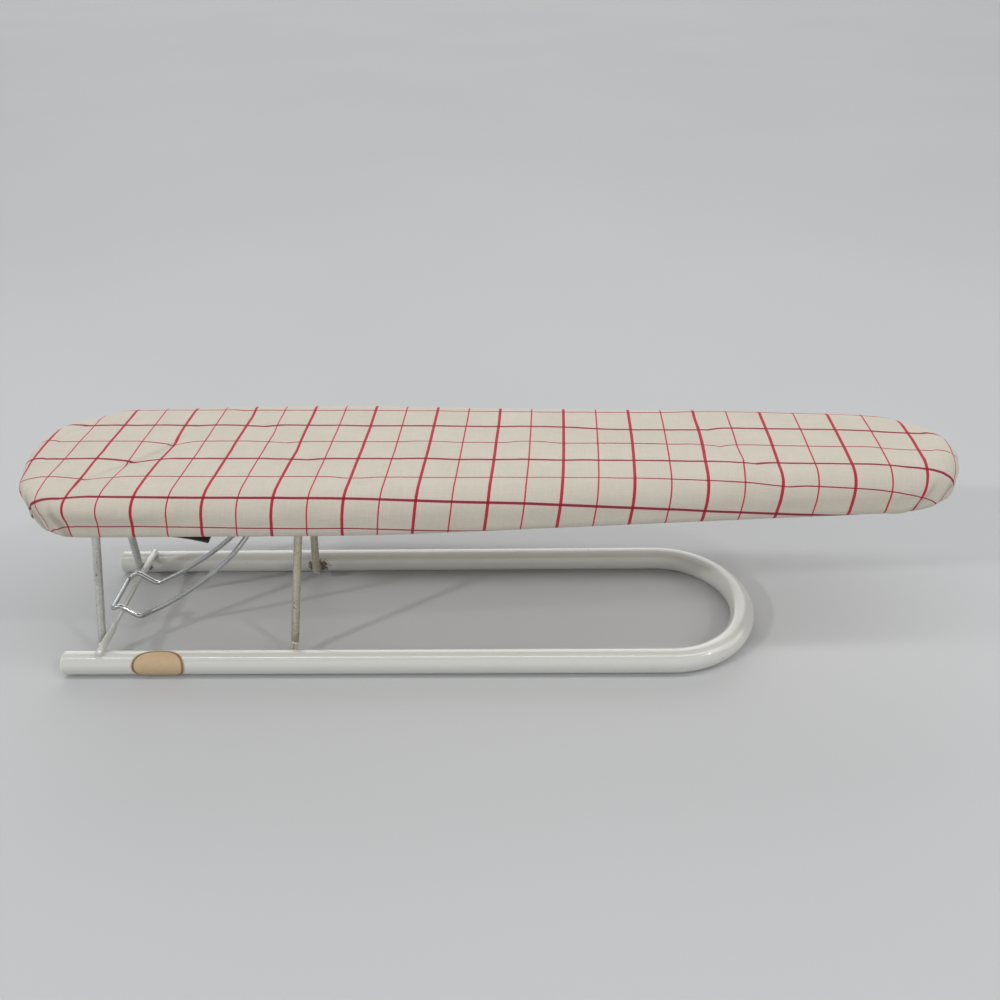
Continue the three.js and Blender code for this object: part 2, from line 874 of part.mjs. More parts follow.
const latchGroup = new THREE.Group().add(piece('latch_wire', latch(), brightWire));

// The origin is midway along the whole object, on the surface that it stands on.
const leftEnd = Math.min(plankLeft - clothOutside, 0);
const rightEnd = Math.max(
  plankLeft + plankLength + clothOutside,
  baseReach + halfSpan + tubeRadius,
);

const group = new THREE.Group().add(base, bails, board, latchGroup);
group.position.x = -(leftEnd + rightEnd) / 2;

export default group;
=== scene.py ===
"""Dresses the tabletop ironing board: cloth, wire, enamel, wood and small steel parts.

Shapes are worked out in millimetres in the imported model's own frame, and each finished mesh
is scaled to metres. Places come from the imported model, so that every piece sits on its node.
"""
import json
import logging
import math
from dataclasses import dataclass
from enum import Enum
from functools import reduce
from itertools import accumulate
from random import Random
from typing import Callable, Optional, Sequence

import bmesh
import bpy
from mathutils import Matrix, Vector, noise


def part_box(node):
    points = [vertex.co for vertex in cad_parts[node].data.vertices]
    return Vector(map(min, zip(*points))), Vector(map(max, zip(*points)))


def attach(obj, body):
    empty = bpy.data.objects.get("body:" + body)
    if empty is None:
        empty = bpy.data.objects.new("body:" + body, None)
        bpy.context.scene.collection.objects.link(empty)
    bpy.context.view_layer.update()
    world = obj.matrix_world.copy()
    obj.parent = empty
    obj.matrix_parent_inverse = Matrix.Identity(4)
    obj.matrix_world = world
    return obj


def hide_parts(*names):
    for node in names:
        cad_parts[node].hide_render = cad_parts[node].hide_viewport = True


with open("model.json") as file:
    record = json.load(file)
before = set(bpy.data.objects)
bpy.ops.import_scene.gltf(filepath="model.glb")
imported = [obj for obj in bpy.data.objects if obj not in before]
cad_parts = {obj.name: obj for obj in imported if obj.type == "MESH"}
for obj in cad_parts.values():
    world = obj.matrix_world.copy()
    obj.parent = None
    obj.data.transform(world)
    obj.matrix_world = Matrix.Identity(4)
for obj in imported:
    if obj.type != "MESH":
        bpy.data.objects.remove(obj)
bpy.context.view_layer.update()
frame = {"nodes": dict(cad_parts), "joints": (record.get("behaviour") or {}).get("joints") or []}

MM = 0.001
TURN = 2 * math.pi
SIDES = (-1, 1)
UP = Vector((0, 0, 1))
LABEL_POWER = 2.15

BMesh = bmesh.types.BMesh
BMVert = bmesh.types.BMVert
BMEdge = bmesh.types.BMEdge
BMFace = bmesh.types.BMFace
Material = bpy.types.Material
Node = bpy.types.Node
Piece = bpy.types.Object
Socket = bpy.types.NodeSocket
Pair = tuple[float, float]
Triple = tuple[float, float, float]
Quad = tuple[float, float, float, float]
Bend = tuple[Vector, float, int]

log = logging.getLogger("ironing_board")


class Body(Enum):
    """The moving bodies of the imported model."""

    BASE = "base"
    LEFT = "left_bail"
    RIGHT = "right_bail"
    BOARD = "board"
    LATCH = "latch"


class Slot(Enum):
    """The record's material slots."""

    ENAMEL = "white_enamel"
    PLASTIC = "cap_plastic"
    ZINC = "zinc_wire"
    AGED_ZINC = "aged_zinc"
    BRIGHT = "bright_wire"
    SHEET = "steel_sheet"
    SCREW = "screw_steel"
    BLUED = "blued_steel"
    BEECH = "beech"
    FELT = "grey_felt"
    COTTON = "checked_cotton"
    WEBBING = "black_webbing"
    PAPER = "tan_paper"


Looks = dict[Slot, Material]


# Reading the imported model


def box_mm(node: str) -> tuple[Vector, Vector]:
    """The lowest and highest corners of a node, in millimetres."""
    low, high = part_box(node)
    return low / MM, high / MM


def joint_mm(name: str) -> Vector:
    """The place of a joint, in millimetres."""
    for joint in frame["joints"]:
        if joint["name"] == name:
            return Vector(joint["pos_m"]) / MM
    raise KeyError(name)


def middle_of(node: str) -> Vector:
    """The middle of a node's box, in millimetres."""
    low, high = box_mm(node)
    return (low + high) / 2


# Mesh work that several pieces share


def gauss(distance: float, width: float) -> float:
    """A soft bump of height 1."""
    return math.exp(-((distance / width) ** 2))


def smoothstep(low: float, high: float, value: float) -> float:
    """0 on low's side, 1 on high's side and smooth between."""
    share = min(max((value - low) / (high - low), 0.0), 1.0)
    return share * share * (3 - 2 * share)


def arc(start: float, end: float, steps: int, first: int = 0, last: int = 0) -> list[Pair]:
    """The sines and cosines of a turn between two angles in degrees.

    Args:
        start: The angle it starts at.
        end: The angle it ends at.
        steps: How many steps the turn has.
        first: How many steps to leave out at its start.
        last: How many steps to leave out at its end.

    Returns:
        The sine and cosine at each step.
    """
    angles = [math.radians(start + (end - start) * i / steps) for i in range(first, steps + 1 - last)]
    return [(math.sin(angle), math.cos(angle)) for angle in angles]


def new_object(name: str, data: object) -> Piece:
    """A new object in the scene."""
    item = bpy.data.objects.new(name, data)
    bpy.context.scene.collection.objects.link(item)
    return item


def to_mesh(bm: BMesh, name: str) -> bpy.types.Mesh:
    """A new mesh of a bmesh, which is freed."""
    mesh = bpy.data.meshes.new(name)
    bm.to_mesh(mesh)
    bm.free()
    return mesh


def finish_mesh(
    bm: BMesh, name: str, body: Body, slot: Slot, looks: Looks, nodes: Sequence[str], crease: Optional[float] = None
) -> Piece:
    """Turns a millimetre bmesh into a placed, dressed and reported piece.

    Args:
        bm: The finished shape, in millimetres; it is freed here.
        name: The new piece's name.
        body: The body that carries it.
        slot: The record's material slot that it takes its finish from.
        looks: Every material of the object, by slot.
        nodes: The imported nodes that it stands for.
        crease: The angle in degrees past which an edge stays sharp, or None for all smooth.

    Returns:
        The new object.
    """
    bmesh.ops.scale(bm, vec=(MM, MM, MM), verts=bm.verts)
    mesh = to_mesh(bm, name)
    piece = new_object(name, mesh)
    for polygon in mesh.polygons:
        polygon.use_smooth = True
    if crease is not None:
        mesh.set_sharp_from_angle(angle=math.radians(crease))
    mesh.materials.append(looks[slot])
    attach(piece, body.value)
    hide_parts(*nodes)
    log.info("%s: %d faces on %s", name, len(mesh.polygons), body.value)
    return piece


def thicken(piece: Piece, name: str, thickness: float, offset: float = -1.0) -> bpy.types.Modifier:
    """Gives a skin its thickness, in millimetres."""
    wall = piece.modifiers.new(name, "SOLIDIFY")
    wall.thickness, wall.offset = thickness * MM, offset
    return wall


def lay_map(bm: BMesh, name: str, place: Callable[[BMVert], Sequence[float]]) -> None:
    """Writes a UV map from the place of each vertex on it, and turns the faces outwards."""
    layer = bm.loops.layers.uv.new(name)
    for face in bm.faces:
        for loop in face.loops:
            loop[layer].uv = place(loop.vert)
    bmesh.ops.recalc_face_normals(bm, faces=bm.faces)


def bent_path(corners: Sequence[Bend]) -> list[Vector]:
    """A path through corners, each given as its place, bend radius and steps.

    A bend is an arc that touches both its straight runs, and a radius of 0 is a plain point.
    """
    path: list[Vector] = []
    for i, (corner, radius, steps) in enumerate(corners):
        if not radius:
            path.append(corner.copy())
            continue
        a, b = ((corners[i + way][0] - corner).normalized() for way in SIDES)
        half = a.angle(b) / 2
        centre = corner + (a + b).normalized() * (radius / math.sin(half))
        first, last = (corner + way * (radius / math.tan(half)) - centre for way in (a, b))
        axis, swing = first.cross(last).normalized(), first.angle(last)
        path += [centre + Matrix.Rotation(swing * k / steps, 3, axis) @ first for k in range(steps + 1)]
    return path


def lengths_along(path: Sequence[Vector] | Sequence[Pair]) -> list[float]:
    """The distance walked at each point of a path."""
    steps = ((b - a).length if isinstance(a, Vector) else math.dist(a, b) for a, b in zip(path, path[1:]))
    return list(accumulate(steps, initial=0.0))


def grow_ring(bm: BMesh, edges: Sequence[BMEdge]) -> tuple[list[BMVert], list[BMEdge], list[BMFace]]:
    """Extrudes a ring of edges, and gives the new ring's vertices and edges, and the faces between."""
    grown = bmesh.ops.extrude_edge_only(bm, edges=edges)["geom"]
    verts = [g for g in grown if isinstance(g, BMVert)]
    fresh = set(verts)
    ring = [e for e in {e for v in verts for e in v.link_edges} if all(v in fresh for v in e.verts)]
    return verts, ring, [g for g in grown if isinstance(g, BMFace)]


def sweep(
    bm: BMesh, path: Sequence[Vector], radii: float | Sequence[float], sides: int, closed: bool = False
) -> None:
    """Extrudes a round ring along a path, with a UV map of turns round and millimetres along.

    Args:
        bm: The bmesh that receives the tube.
        path: The points of its centre line.
        radii: Its radius, or its radius at each point.
        sides: How many sides the ring has.
        closed: Whether the last ring joins the first; otherwise both ends are filled.
    """
    uv_layer = bm.loops.layers.uv.get("wire") or bm.loops.layers.uv.new("wire")
    turn_layer = bm.verts.layers.int.get("turn") or bm.verts.layers.int.new("turn")
    along_layer = bm.verts.layers.float.get("along") or bm.verts.layers.float.new("along")
    count, walked = len(path), lengths_along(path)
    if isinstance(radii, float):
        radii = [radii] * count
    tangents = []
    for i in range(count):
        before = path[i - 1] if (i or closed) else path[i]
        after = path[(i + 1) % count] if (i + 1 < count or closed) else path[i]
        tangents.append((after - before).normalized())
    side = tangents[0].orthogonal().normalized()
    places: list[Matrix] = []
    for i, tangent in enumerate(tangents):
        if i:
            side = tangents[i - 1].rotation_difference(tangent) @ side
        side = (side - tangent * side.dot(tangent)).normalized()
        turned = Matrix((side, tangent.cross(side), tangent)).transposed().to_4x4()
        places.append(Matrix.Translation(path[i]) @ turned @ Matrix.Diagonal((radii[i], radii[i], 1, 1)))

    verts = bmesh.ops.create_circle(bm, segments=sides, radius=1, cap_ends=False)["verts"]
    verts.sort(key=lambda v: math.atan2(v.co.y, v.co.x))
    for number, vert in enumerate(verts):
        vert[turn_layer] = number
    bmesh.ops.transform(bm, matrix=places[0], verts=verts)
    first = edges = list({edge for vert in verts for edge in vert.link_edges})
    faces: list[BMFace] = []
    for i in range(1, count):
        verts, edges, walls = grow_ring(bm, edges)
        faces += walls
        bmesh.ops.transform(bm, matrix=places[i] @ places[i - 1].inverted(), verts=verts)
        for vert in verts:
            vert[along_layer] = walked[i]
    if closed:
        faces += bmesh.ops.bridge_loops(bm, edges=first + edges)["faces"]
    else:
        for end in (first, edges):
            bmesh.ops.edgeloop_fill(bm, edges=end)
    for face in faces:
        turns = [loop.vert[turn_layer] for loop in face.loops]
        wraps = max(turns) - min(turns) > 1
        for loop, turn in zip(face.loops, turns):
            loop[uv_layer].uv = ((sides if wraps and turn == 0 else turn) / sides, loop.vert[along_layer])
    bmesh.ops.recalc_face_normals(bm, faces=bm.faces)


def drill(bm: BMesh, middle: Vector, reach: Vector, radius: float, sides: int = 20) -> None:
    """Adds a straight round cutter that reaches as far to both sides of its middle."""
    sweep(bm, [middle - reach, middle + reach], radius, sides)


def lathe(profile: Sequence[Pair], steps: int) -> BMesh:
    """Spins a profile of radius and height pairs about the Z axis into a closed body."""
    bm = bmesh.new()
    verts = [bm.verts.new((radius, 0, height)) for radius, height in profile]
    edges = [bm.edges.new(pair) for pair in zip(verts, verts[1:])]
    bmesh.ops.spin(bm, geom=verts + edges, cent=(0, 0, 0), axis=UP, angle=TURN, steps=steps, use_merge=True)
    bmesh.ops.remove_doubles(bm, verts=bm.verts[:], dist=1e-4)
    bmesh.ops.recalc_face_normals(bm, faces=bm.faces[:])
    return bm


def extruded_plate(outline: Sequence[Vector], depth: Vector, edge: float) -> BMesh:
    """A plate with its long edges softened.

    Args:
        outline: The corners of one face, in order.
        depth: The way and distance to the other face.
        edge: The size of the softened edge.

    Returns:
        The plate.
    """
    bm = bmesh.new()
    face = bm.faces.new([bm.verts.new(point) for point in outline])
    grown = bmesh.ops.extrude_face_region(bm, geom=[face])["geom"]
    bmesh.ops.translate(bm, vec=depth, verts=[g for g in grown if isinstance(g, BMVert)])
    bmesh.ops.recalc_face_normals(bm, faces=bm.faces[:])
    sharp = [e for e in bm.edges if e.calc_face_angle(0) > math.radians(40)]
    bmesh.ops.bevel(
        bm, geom=sharp, offset=edge, segments=2, profile=0.5, affect="EDGES", material=-1,
        offset_type="OFFSET", clamp_overlap=True,
    )
    return bm


def carve(body: BMesh, cutters: BMesh) -> BMesh:
    """Cuts one closed bmesh out of another with an exact boolean, and frees both."""
    pair = [new_object("carving", to_mesh(shape, "carving")) for shape in (body, cutters)]
    cut = pair[0].modifiers.new("cut", "BOOLEAN")
    cut.operation, cut.solver, cut.object = "DIFFERENCE", "EXACT", pair[1]
    result = bmesh.new()
    result.from_object(pair[0], bpy.context.evaluated_depsgraph_get())
    for item in pair:
        mesh = item.data
        bpy.data.objects.remove(item)
        bpy.data.meshes.remove(mesh)
    return result


def place_all(bm: BMesh, spot: Vector, turn: float, axis: str) -> None:
    """Turns a whole bmesh about an axis and moves it to its spot."""
    matrix = Matrix.Translation(spot) @ Matrix.Rotation(turn, 4, axis)
    bmesh.ops.transform(bm, matrix=matrix, verts=bm.verts)


# Shader nodes


class Graph:
    """Adds and links the nodes of one material or node group."""

    def __init__(self, tree: bpy.types.NodeTree, effects: Optional["Effects"] = None) -> None:
        """Works on the given node tree, with the shared groups at hand."""
        self.tree, self.effects = tree, effects

    def add(self, kind: str, *sources: object, **settings: object) -> Node:
        """A new shader node with its settings, whose first inputs are fed in order."""
        node = self.tree.nodes.new("ShaderNode" + kind)
        for name, value in settings.items():
            setattr(node, name, value)
        for socket, value in zip(node.inputs, sources):
            self.feed(socket, value)
        return node

    def feed(self, socket: Socket, value: object) -> None:
        """Links a source to a socket, or sets the socket's own value, a colour with full alpha."""
        if isinstance(value, Socket):
            self.tree.links.new(value, socket)
        else:
            socket.default_value = (*value, 1.0) if socket.type == "RGBA" else value

    def feed_named(self, node: Node, values: dict[str, object]) -> Node:
        """Feeds the inputs of a node by their labels, and gives the node back."""
        for label, value in values.items():
            self.feed(node.inputs[label], value)
        return node

    def math(self, operation: str, a: object, b: object = 0.0, clamp: bool = False) -> Socket:
        """One sum of two values."""
        return self.add("Math", a, b, operation=operation, use_clamp=clamp).outputs[0]

    def times(self, a: object, b: object, clamp: bool = False) -> Socket:
        """Two values multiplied."""
        return self.math("MULTIPLY", a, b, clamp)

    def plus(self, a: object, b: object, clamp: bool = False) -> Socket:
        """Two values added."""
        return self.math("ADD", a, b, clamp)

    def minus(self, a: object, b: object) -> Socket:
        """One value less another."""
        return self.math("SUBTRACT", a, b)

    def highest(self, a: object, b: object) -> Socket:
        """The higher of two values."""
        return self.math("MAXIMUM", a, b)

    def vector(self, operation: str, a: object, b: object = (0.0, 0.0, 0.0)) -> Socket:
        """One sum of two vectors."""
        node = self.add("VectorMath", a, b, operation=operation)
        return node.outputs["Value" if operation == "LENGTH" else "Vector"]

    def split(self, vector: Socket) -> tuple[Socket, ...]:
        """The three parts of a vector."""
        return tuple(self.add("SeparateXYZ", vector).outputs)

    def scaled(self, vector: object, scale: Triple) -> Socket:
        """A vector stretched differently along each axis."""
        return self.vector("MULTIPLY", vector, scale)

    def noise(self, vector: object, scale: object, detail: float = 2.0, roughness: float = 0.5) -> Socket:
        """A soft random value from 0 to 1."""
        values = {"Vector": vector, "Scale": scale, "Detail": detail, "Roughness": roughness}
        return self.feed_named(self.add("TexNoise"), values).outputs["Fac"]

    def fibres(self, vector: object, scale: Triple, detail: float, roughness: float) -> Socket:
        """Noise drawn out differently along each axis."""
        return self.noise(self.scaled(vector, scale), 1.0, detail, roughness)

    def remap(self, value: object, low: float, high: float, to_low: float = 0.0, to_high: float = 1.0) -> Socket:
        """A value moved smoothly from one range to another, and held at its ends."""
        return self.add("MapRange", value, low, high, to_low, to_high, interpolation_type="SMOOTHSTEP").outputs[0]

    def between(self, share: object, none: float, full: float) -> Socket:
        """A value between two others, by a share from 0 to 1."""
        return self.remap(share, 0.0, 1.0, none, full)

    def mix(self, share: object, a: object, b: object) -> Socket:
        """Two colours mixed by a share."""
        node = self.add("Mix", share, data_type="RGBA", blend_type="MIX")
        self.feed(node.inputs[6], a)
        self.feed(node.inputs[7], b)
        return node.outputs[2]

    def bump(self, height: Socket, depth: float) -> Socket:
        """The normal of an uneven surface, from its height and its depth in millimetres."""
        values = {"Strength": 1.0, "Distance": depth * MM, "Height": height}
        return self.feed_named(self.add("Bump"), values).outputs[0]

    def group(self, group: bpy.types.NodeTree, **values: object) -> dict[str, Socket]:
        """Places a shared group with its own values, and gives its outputs by name."""
        node = self.add("Group", node_tree=group)
        self.feed_named(node, {name.capitalize(): value for name, value in values.items()})
        return {socket.name: socket for socket in node.outputs}

    def specks(self, place: Socket, scale: float, size: float, share: float) -> Socket:
        """A mask of small scattered spots."""
        return self.group(self.effects.specks, vector=place, scale=scale, size=size, share=share)["Mask"]

    def patches(self, place: Socket, scale: float, level: float, softness: float) -> Socket:
        """A mask of broad cloudy patches."""
        values = {"scale": scale, "level": level, "softness": softness}
        return self.group(self.effects.patches, vector=place, **values)["Mask"]

    def object_place(self) -> Socket:
        """The place on the object, in metres."""
        return self.add("TexCoord").outputs["Object"]

    def map_place(self, name: str) -> Socket:
        """The place on one of the piece's own UV maps."""
        return self.add("UVMap", uv_map=name).outputs["UV"]


class Effects:
    """The node groups that several materials share, each built once."""

    def __init__(self) -> None:
        """Builds all the groups."""
        self.specks, self.patches = self._specks(), self._patches()
        self.drawn, self.weave = self._drawn(), self._weave()

    @staticmethod
    def _group(name: str, numbers: dict[str, float], outputs: Sequence[str]) -> tuple[Graph, dict[str, Socket], Node]:
        """An empty group with a Vector input, number inputs and number outputs."""
        tree = bpy.data.node_groups.new(name, "ShaderNodeTree")
        tree.interface.new_socket(name="Vector", in_out="INPUT", socket_type="NodeSocketVector")
        for label, value in numbers.items():
            socket = tree.interface.new_socket(name=label, in_out="INPUT", socket_type="NodeSocketFloat")
            socket.default_value = value
        for label in outputs:
            tree.interface.new_socket(name=label, in_out="OUTPUT", socket_type="NodeSocketFloat")
        start, end = tree.nodes.new("NodeGroupInput"), tree.nodes.new("NodeGroupOutput")
        return Graph(tree), {socket.name: socket for socket in start.outputs if socket.name}, end

    def _specks(self) -> bpy.types.NodeTree:
        """Small scattered spots of uneven size: a mask."""
        numbers = {"Scale": 100.0, "Size": 0.1, "Share": 0.3}
        graph, given, end = self._group("scattered_specks", numbers, ["Mask"])
        cells = graph.add("TexVoronoi", feature="F1")
        graph.feed_named(cells, {"Vector": given["Vector"], "Scale": given["Scale"]})
        pick, size, _ = graph.split(cells.outputs["Color"])
        near = graph.minus(graph.times(size, given["Size"]), cells.outputs["Distance"])
        chosen = graph.math("LESS_THAN", pick, given["Share"])
        graph.feed(end.inputs["Mask"], graph.times(graph.times(near, 40.0, clamp=True), chosen))
        return graph.tree

    def _patches(self) -> bpy.types.NodeTree:
        """Broad cloudy patches with fine ragged edges: a mask."""
        numbers = {"Scale": 20.0, "Level": 0.5, "Softness": 0.1}
        graph, given, end = self._group("cloudy_patches", numbers, ["Mask"])
        broad = graph.noise(given["Vector"], given["Scale"], detail=5.0, roughness=0.62)
        over = graph.minus(broad, given["Level"])
        graph.feed(end.inputs["Mask"], graph.math("DIVIDE", over, given["Softness"], clamp=True))
        return graph.tree

    def _drawn(self) -> bpy.types.NodeTree:
        """The fine lengthwise lines that a wire keeps from its die: a value from 0 to 1."""
        graph, given, end = self._group("drawn_lines", {"Lines": 60.0, "Length": 0.05}, ["Value"])
        turn, along, _ = graph.split(given["Vector"])
        angle = graph.times(turn, TURN)
        x, y = (graph.times(graph.math(wave, angle), given["Lines"]) for wave in ("COSINE", "SINE"))
        ring = graph.add("CombineXYZ", x, y, graph.times(along, given["Length"]))
        graph.feed(end.inputs["Value"], graph.noise(ring.outputs[0], 0.16, detail=3.0, roughness=0.6))
        return graph.tree

    def _weave(self) -> bpy.types.NodeTree:
        """A plain weave of crossing yarns, some thicker than others: height and yarn tone."""
        graph, given, end = self._group("plain_weave", {"Pitch": 0.6, "Slubs": 0.5}, ["Height", "Tone"])
        u, v = (graph.math("DIVIDE", part, given["Pitch"]) for part in graph.split(given["Vector"])[:2])
        waves, thick = [], []
        for first, second, stretch in ((u, v, (1.6, 0.055, 1.0)), (v, u, (0.055, 1.6, 1.0))):
            bump = graph.math("ABSOLUTE", graph.math("SINE", graph.times(first, math.pi)))
            parity = graph.math("SINE", graph.times(graph.plus(second, 0.5), math.pi))
            waves.append(graph.times(bump, graph.plus(parity, 1.2)))
            slub = graph.fibres(given["Vector"], stretch, detail=3.0, roughness=0.62)
            thick.append(graph.remap(slub, 0.38, 0.78, -0.5, 0.5))
        slubs = graph.times(graph.plus(*thick), given["Slubs"])
        woven = graph.times(graph.highest(*waves), 0.25)
        graph.feed(end.inputs["Height"], graph.plus(woven, slubs))
        graph.feed(end.inputs["Tone"], graph.plus(slubs, 0.5))
        return graph.tree


# Finishes


@dataclass(frozen=True)
class Finish:
    """What a surface is made of; each kind lays its own nodes."""

    name: str

    def build(self, effects: Effects) -> Material:
        """A new material with this finish."""
        material = bpy.data.materials.new(self.name)
        material.use_nodes = True
        graph = Graph(material.node_tree, effects)
        graph.feed_named(material.node_tree.nodes["Principled BSDF"], self.lay(graph))
        return material

    def lay(self, graph: Graph) -> dict[str, object]:
        """Lays the nodes of this finish, and gives what feeds the shader's inputs."""
        raise NotImplementedError


@dataclass(frozen=True)
class Mark:
    """A ragged bare spot in enamel: its middle and half size in millimetres, and its edge."""

    middle: Triple
    size: Triple
    torn: float
    edge: Pair
    strength: float

    def lay(self, graph: Graph, place: Socket, ragged: Socket) -> Socket:
        """A mask of the mark."""
        offset = graph.vector("SUBTRACT", place, tuple(part * MM for part in self.middle))
        away = graph.vector("LENGTH", graph.scaled(offset, tuple(1 / (part * MM) for part in self.size)))
        return graph.remap(graph.plus(away, graph.times(ragged, self.torn)), *self.edge, self.strength, 0.0)

    @classmethod
    def chip(cls, middle: Triple, reach: float) -> "Mark":
        """A chip, longest along the tube."""
        return cls(middle, (reach / 0.62, reach, reach), torn=1.7, edge=(1.5, 1.62), strength=1.0)

    @classmethod
    def scratch(cls, middle: Triple, length: float) -> "Mark":
        """A faint scratch along the tube."""
        return cls(middle, (length, 0.9, 0.55), torn=0.9, edge=(1.0, 1.5), strength=0.6)


@dataclass(frozen=True)
class Enamel(Finish):
    """Glossy white enamel with specks, faint grime and chips round the foot holes."""

    marks: tuple[Mark, ...]
    colour: Triple = (0.565, 0.565, 0.53)
    grime: Triple = (0.49, 0.478, 0.425)
    steel: Triple = (0.09, 0.08, 0.07)
    rust: Triple = (0.20, 0.10, 0.05)
    rough: Pair = (0.3, 0.45)

    def lay(self, graph: Graph) -> dict[str, object]:
        """Specks, grime, chips and scratches over a clear glossy coat."""
        place = graph.object_place()
        grime = graph.patches(place, scale=26.0, level=0.5, softness=0.5)
        colour = graph.mix(graph.times(grime, 0.4), self.colour, self.grime)
        fine = graph.specks(place, scale=150.0, size=0.13, share=0.05)
        colour = graph.mix(graph.times(fine, 0.7), colour, self.rust)
        ragged = graph.noise(place, 620.0, detail=4.0, roughness=0.65)
        bare = reduce(graph.highest, [mark.lay(graph, place, ragged) for mark in self.marks])
        worn = graph.mix(graph.remap(ragged, 0.4, 0.6), self.steel, self.rust)
        runs = graph.fibres(place, (55.0, 150.0, 150.0), detail=2.0, roughness=0.5)
        peel = graph.plus(graph.times(graph.noise(place, 380.0), 0.12), runs)
        return {
            "Base Color": graph.mix(bare, colour, worn),
            "Roughness": graph.plus(graph.times(bare, 0.4), graph.between(grime, *self.rough)),
            "Coat Weight": 1.0,
            "Coat Roughness": 0.03,
            "Normal": graph.bump(peel, depth=0.3),
        }


@dataclass(frozen=True)
class Plastic(Finish):
    """Satin moulded plastic."""

    colour: Triple = (0.70, 0.70, 0.67)
    dirt: Triple = (0.52, 0.50, 0.45)
    rough: Pair = (0.38, 0.55)

    def lay(self, graph: Graph) -> dict[str, object]:
        """Faint dirt and a fine moulded grain."""
        place = graph.object_place()
        dirt = graph.patches(place, scale=160.0, level=0.52, softness=0.3)
        return {
            "Base Color": graph.mix(graph.times(dirt, 0.5), self.colour, self.dirt),
            "Roughness": graph.between(dirt, *self.rough),
            "Normal": graph.bump(graph.noise(place, 2400.0, detail=2.0, roughness=0.6), depth=0.02),
        }


@dataclass(frozen=True)
class Wire(Finish):
    """Plated wire with lengthwise drawing lines, dull patches, rust, and rubbed feet lightened further by a painted
    highlight.
    """

    light: Triple = (0.74, 0.74, 0.71)
    dark: Triple = (0.36, 0.365, 0.345)
    rust: Triple = (0.13, 0.075, 0.04)
    # The feet's pale colour: rubbed plating together with a painted highlight.
    rubbed: Triple = (0.74, 0.74, 0.73)
    rust_share: float = 0.05
    rough: Pair = (0.34, 0.55)
    metal: float = 0.75
    rubbed_highlight_from: float = 9.0
    rubbed_highlight_below: float = 12.0

    def lay(self, graph: Graph) -> dict[str, object]:
        """Drawing lines along the wire, patches of dulled plating and rust specks."""
        place = graph.object_place()
        lines = graph.group(graph.effects.drawn, vector=graph.map_place("wire"), lines=40.0, length=0.16)["Value"]
        dull = graph.patches(place, scale=95.0, level=0.46, softness=0.22)
        mottle = graph.noise(place, 700.0, detail=4.0, roughness=0.7)
        tone = graph.plus(graph.remap(lines, 0.3, 0.7, 0.0, 0.4), graph.times(dull, 0.25))
        tone = graph.plus(tone, graph.remap(mottle, 0.35, 0.7, 0.0, 0.4), clamp=True)
        colour = graph.mix(tone, self.light, self.dark)
        # Below a set height the feet are lightened and smoothed: partly rubbed plating, partly a painted highlight.
        rubbed = graph.remap(graph.split(place)[2], self.rubbed_highlight_from * MM, self.rubbed_highlight_below * MM, 1.0, 0.0)
        colour = graph.mix(graph.times(rubbed, 0.8), colour, self.rubbed)
        specks = graph.specks(place, scale=560.0, size=0.36, share=self.rust_share)
        patch = graph.patches(place, scale=210.0, level=0.69 - self.rust_share * 0.35, softness=0.05)
        rusty = graph.highest(specks, patch)
        rough = graph.minus(graph.between(tone, *self.rough), graph.times(rubbed, 0.2))
        return {
            "Base Color": graph.mix(graph.times(rusty, 0.85), colour, self.rust),
            "Metallic": graph.between(rusty, self.metal, 0.1),
            "Roughness": graph.plus(rough, graph.times(rusty, 0.35)),
            "Normal": graph.bump(graph.plus(lines, graph.times(rusty, 0.8)), depth=0.04),
        }


@dataclass(frozen=True)
class Steel(Finish):
    """Pressed, plated or blued steel with worn edges."""

    light: Triple = (0.42, 0.43, 0.44)
    dark: Triple = (0.26, 0.27, 0.28)
    rust: Triple = (0.17, 0.085, 0.04)
    rust_share: float = 0.12
    rough: Pair = (0.3, 0.52)
    edge_gain: float = 1.25

    def lay(self, graph: Graph) -> dict[str, object]:
        """Cloudy plating, fine brushing, rubbed edges and a little rust."""
        place = graph.object_place()
        cloud = graph.patches(place, scale=240.0, level=0.44, softness=0.25)
        brushed = graph.fibres(place, (90.0, 2600.0, 700.0), detail=3.0, roughness=0.6)
        tone = graph.plus(graph.times(cloud, 0.6), graph.remap(brushed, 0.3, 0.7, 0.0, 0.4))
        edges = graph.remap(graph.add("NewGeometry").outputs["Pointiness"], 0.53, 0.6, 0.0, 0.8)
        colour = graph.mix(tone, self.light, self.dark)
        colour = graph.mix(edges, colour, tuple(self.edge_gain * part for part in self.light))
        rusty = graph.patches(place, scale=330.0, level=0.68 - self.rust_share * 0.4, softness=0.06)
        return {
            "Base Color": graph.mix(graph.times(rusty, 0.8), colour, self.rust),
            "Metallic": graph.between(rusty, 0.92, 0.15),
            "Roughness": graph.plus(graph.between(tone, *self.rough), graph.times(rusty, 0.3)),
            "Normal": graph.bump(graph.plus(brushed, rusty), depth=0.02),
        }


